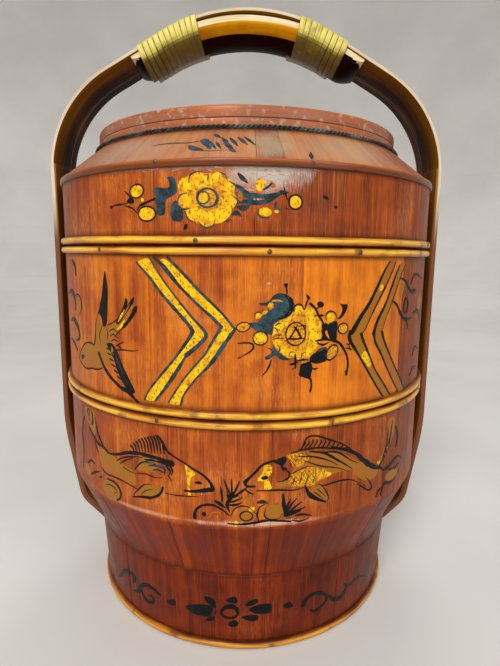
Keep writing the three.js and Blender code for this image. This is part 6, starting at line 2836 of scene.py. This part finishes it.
@dataclass(frozen=True)
class Studio:
    """A pale floor that turns up far off, plain soft light, and the camera at the photograph's angle."""

    floor_radius: float = 3.2
    rim_width: float = 0.9
    upturn_height: float = 2.8
    upturn_round: float = 0.85
    speck: float = 300
    camera_place: tuple[float, float, float] = (0.0, -0.42359, 0.27738)
    yaw: float = 0.555
    pitch: float = 9.443
    roll: float = 0.613
    lens: float = 25.94
    sensor: float = 36
    pale: str = "#ece9e4"
    shade: str = "#e2dfda"
    air: str = "#f2f1ef"
    light_on_basket: float = 0.36
    light_seen: float = 0.95
    aim_height: float = 0.2
    nearest: float = 0.02

    def build(self) -> None:
        """Builds the studio."""
        self.build_floor()
        self.build_light()
        self.build_camera()

    def build_floor(self) -> None:
        """Builds the floor with its upturned edge."""
        deselect_all()
        bpy.ops.mesh.primitive_circle_add(vertices=96, radius=self.floor_radius, fill_type="NGON")
        floor = bpy.context.object
        floor.name = "studio_floor"
        bpy.ops.object.mode_set(mode="EDIT")
        bpy.ops.mesh.select_all(action="SELECT")
        bpy.ops.mesh.inset(thickness=self.rim_width)
        shape = bmesh.from_edit_mesh(floor.data)
        for vertex in shape.verts:
            is_rim = vertex.co.to_2d().length > self.floor_radius - self.rim_width / 2
            vertex.select = not is_rim
            if is_rim:
                vertex.co.z = self.upturn_height
        shape.select_flush_mode()
        for edge in shape.edges:
            edge.select = all(vertex.co.z == 0 for vertex in edge.verts)
        bmesh.update_edit_mesh(floor.data)
        bpy.ops.mesh.bevel(offset=self.upturn_round, segments=12)
        bpy.ops.mesh.select_all(action="SELECT")
        bpy.ops.mesh.normals_make_consistent(inside=True)
        bpy.ops.object.mode_set(mode="OBJECT")
        material, tree = new_finish("pale studio paint")
        colour = mixed(tree, self.pale, self.shade, patches(tree, self.speck), 0.35, 0.65)
        end_finish(tree, {"Roughness": 0.8}, {"Base Color": colour})
        floor.data.materials.append(material)

    def build_light(self) -> None:
        """Sets the world and the lamps."""
        world = bpy.data.worlds.new("studio air")
        bpy.context.scene.world = world
        world.use_nodes = True
        tree = world.node_tree
        tree.nodes.clear()
        rays = add_node(tree, "ShaderNodeLightPath").outputs
        seen = rays["Is Camera Ray"]
        for other in ("Is Glossy Ray", "Is Transmission Ray"):
            either = {0: seen, 1: rays[other]}
            seen = add_node(tree, "ShaderNodeMath", {"operation": "MAXIMUM"}, links=either).outputs[0]
        limits = {"To Min": self.light_on_basket, "To Max": self.light_seen}
        strength = add_node(tree, "ShaderNodeMapRange", values=limits, links={"Value": seen}).outputs[0]
        air = {"Color": linear(self.air)}
        sky = add_node(tree, "ShaderNodeBackground", values=air, links={"Strength": strength})
        add_node(tree, "ShaderNodeOutputWorld", links={"Surface": sky.outputs[0]})
        for name, spot, size, power in (
            ("key", (-0.5, -1.7, 1.5), 0.9, 32),
            ("fill", (1.2, -1.5, 0.9), 1.2, 6),
            ("back", (0.3, 1.6, 1.7), 1.2, 9),
        ):
            light = bpy.data.lights.new(name, "AREA")
            light.shape = "DISK"
            light.size = size
            light.energy = power
            lamp = bpy.data.objects.new(name, light)
            lamp.location = spot
            aim = Vector((0, 0, self.aim_height)) - Vector(spot)
            lamp.rotation_euler = aim.to_track_quat("-Z", "Y").to_euler()
            bpy.context.scene.collection.objects.link(lamp)

    def build_camera(self) -> None:
        """Sets the camera where the photograph was taken from."""
        yaw, pitch, roll = (math.radians(a) for a in (self.yaw, self.pitch, self.roll))
        forward = Vector((math.sin(yaw) * math.cos(pitch), math.cos(yaw) * math.cos(pitch), -math.sin(pitch)))
        right = Vector((math.cos(yaw), -math.sin(yaw), 0))
        up = right.cross(forward)
        across = right * math.cos(roll) + up * math.sin(roll)
        upright = up * math.cos(roll) - right * math.sin(roll)
        axes = Matrix((across, upright, -forward)).transposed()
        data = bpy.data.cameras.new("camera")
        data.lens = self.lens
        data.sensor_width = self.sensor
        data.clip_start = self.nearest
        camera = bpy.data.objects.new("camera", data)
        camera.matrix_world = Matrix.Translation(self.camera_place) @ axes.to_4x4()
        bpy.context.scene.collection.objects.link(camera)
        bpy.context.scene.camera = camera


def main() -> None:
    """Builds the basket from the foot up, and then the studio."""
    logging.basicConfig(level=logging.INFO, format="%(message)s")
    bpy.context.scene.view_settings.view_transform = "Standard"
    hoop_bamboo = SplitBamboo("split bamboo with its skin", 2.7).make()
    wood = BareWood().make()
    cord = WaxedCord().make()
    foot = Foot()
    walls = {"foot": foot.build()}
    walls["lower"] = LowerTier().build(hoop_bamboo, wood)
    walls["middle"] = MiddleTier().build(hoop_bamboo, wood)
    walls["lid"], walls["shoulder"] = Lid().build(hoop_bamboo, cord)
    Handle().build(foot)
    paint_basket(foot, walls)
    for tier, body in (("lower_tier", Body.LOWER_TIER), ("middle_tier", Body.MIDDLE_TIER)):
        build_planks(f"{tier}_floor", f"{tier}_floor_planks", wood, body, Slot.WOOD)
    iron = ForgedIron().make()
    for node, nail_places, body in (
        ("lower_tier_hoop", ((-21.3, .3), (64, .2), (112, -.3), (-98, .1), (176, .3)), Body.LOWER_TIER),
        ("middle_tier_top_hoop", ((-37.8, .5), (5.1, -.1), (27.2, 0), (118, .3), (-124, 0)),
         Body.MIDDLE_TIER),
        ("lid_hoop", ((-11.1, -.5), (61, .1), (151, .4), (-103, 0)), Body.LID),
        ("lid_edge_strip", ((-20.7, 1), (14.4, .2), (83, .3), (148, -.2), (-96, .2)), Body.LID),
    ):
        build_hoop_nails(node, nail_places, body, iron)
    Studio().build()


if __name__ == "__main__":
    main()
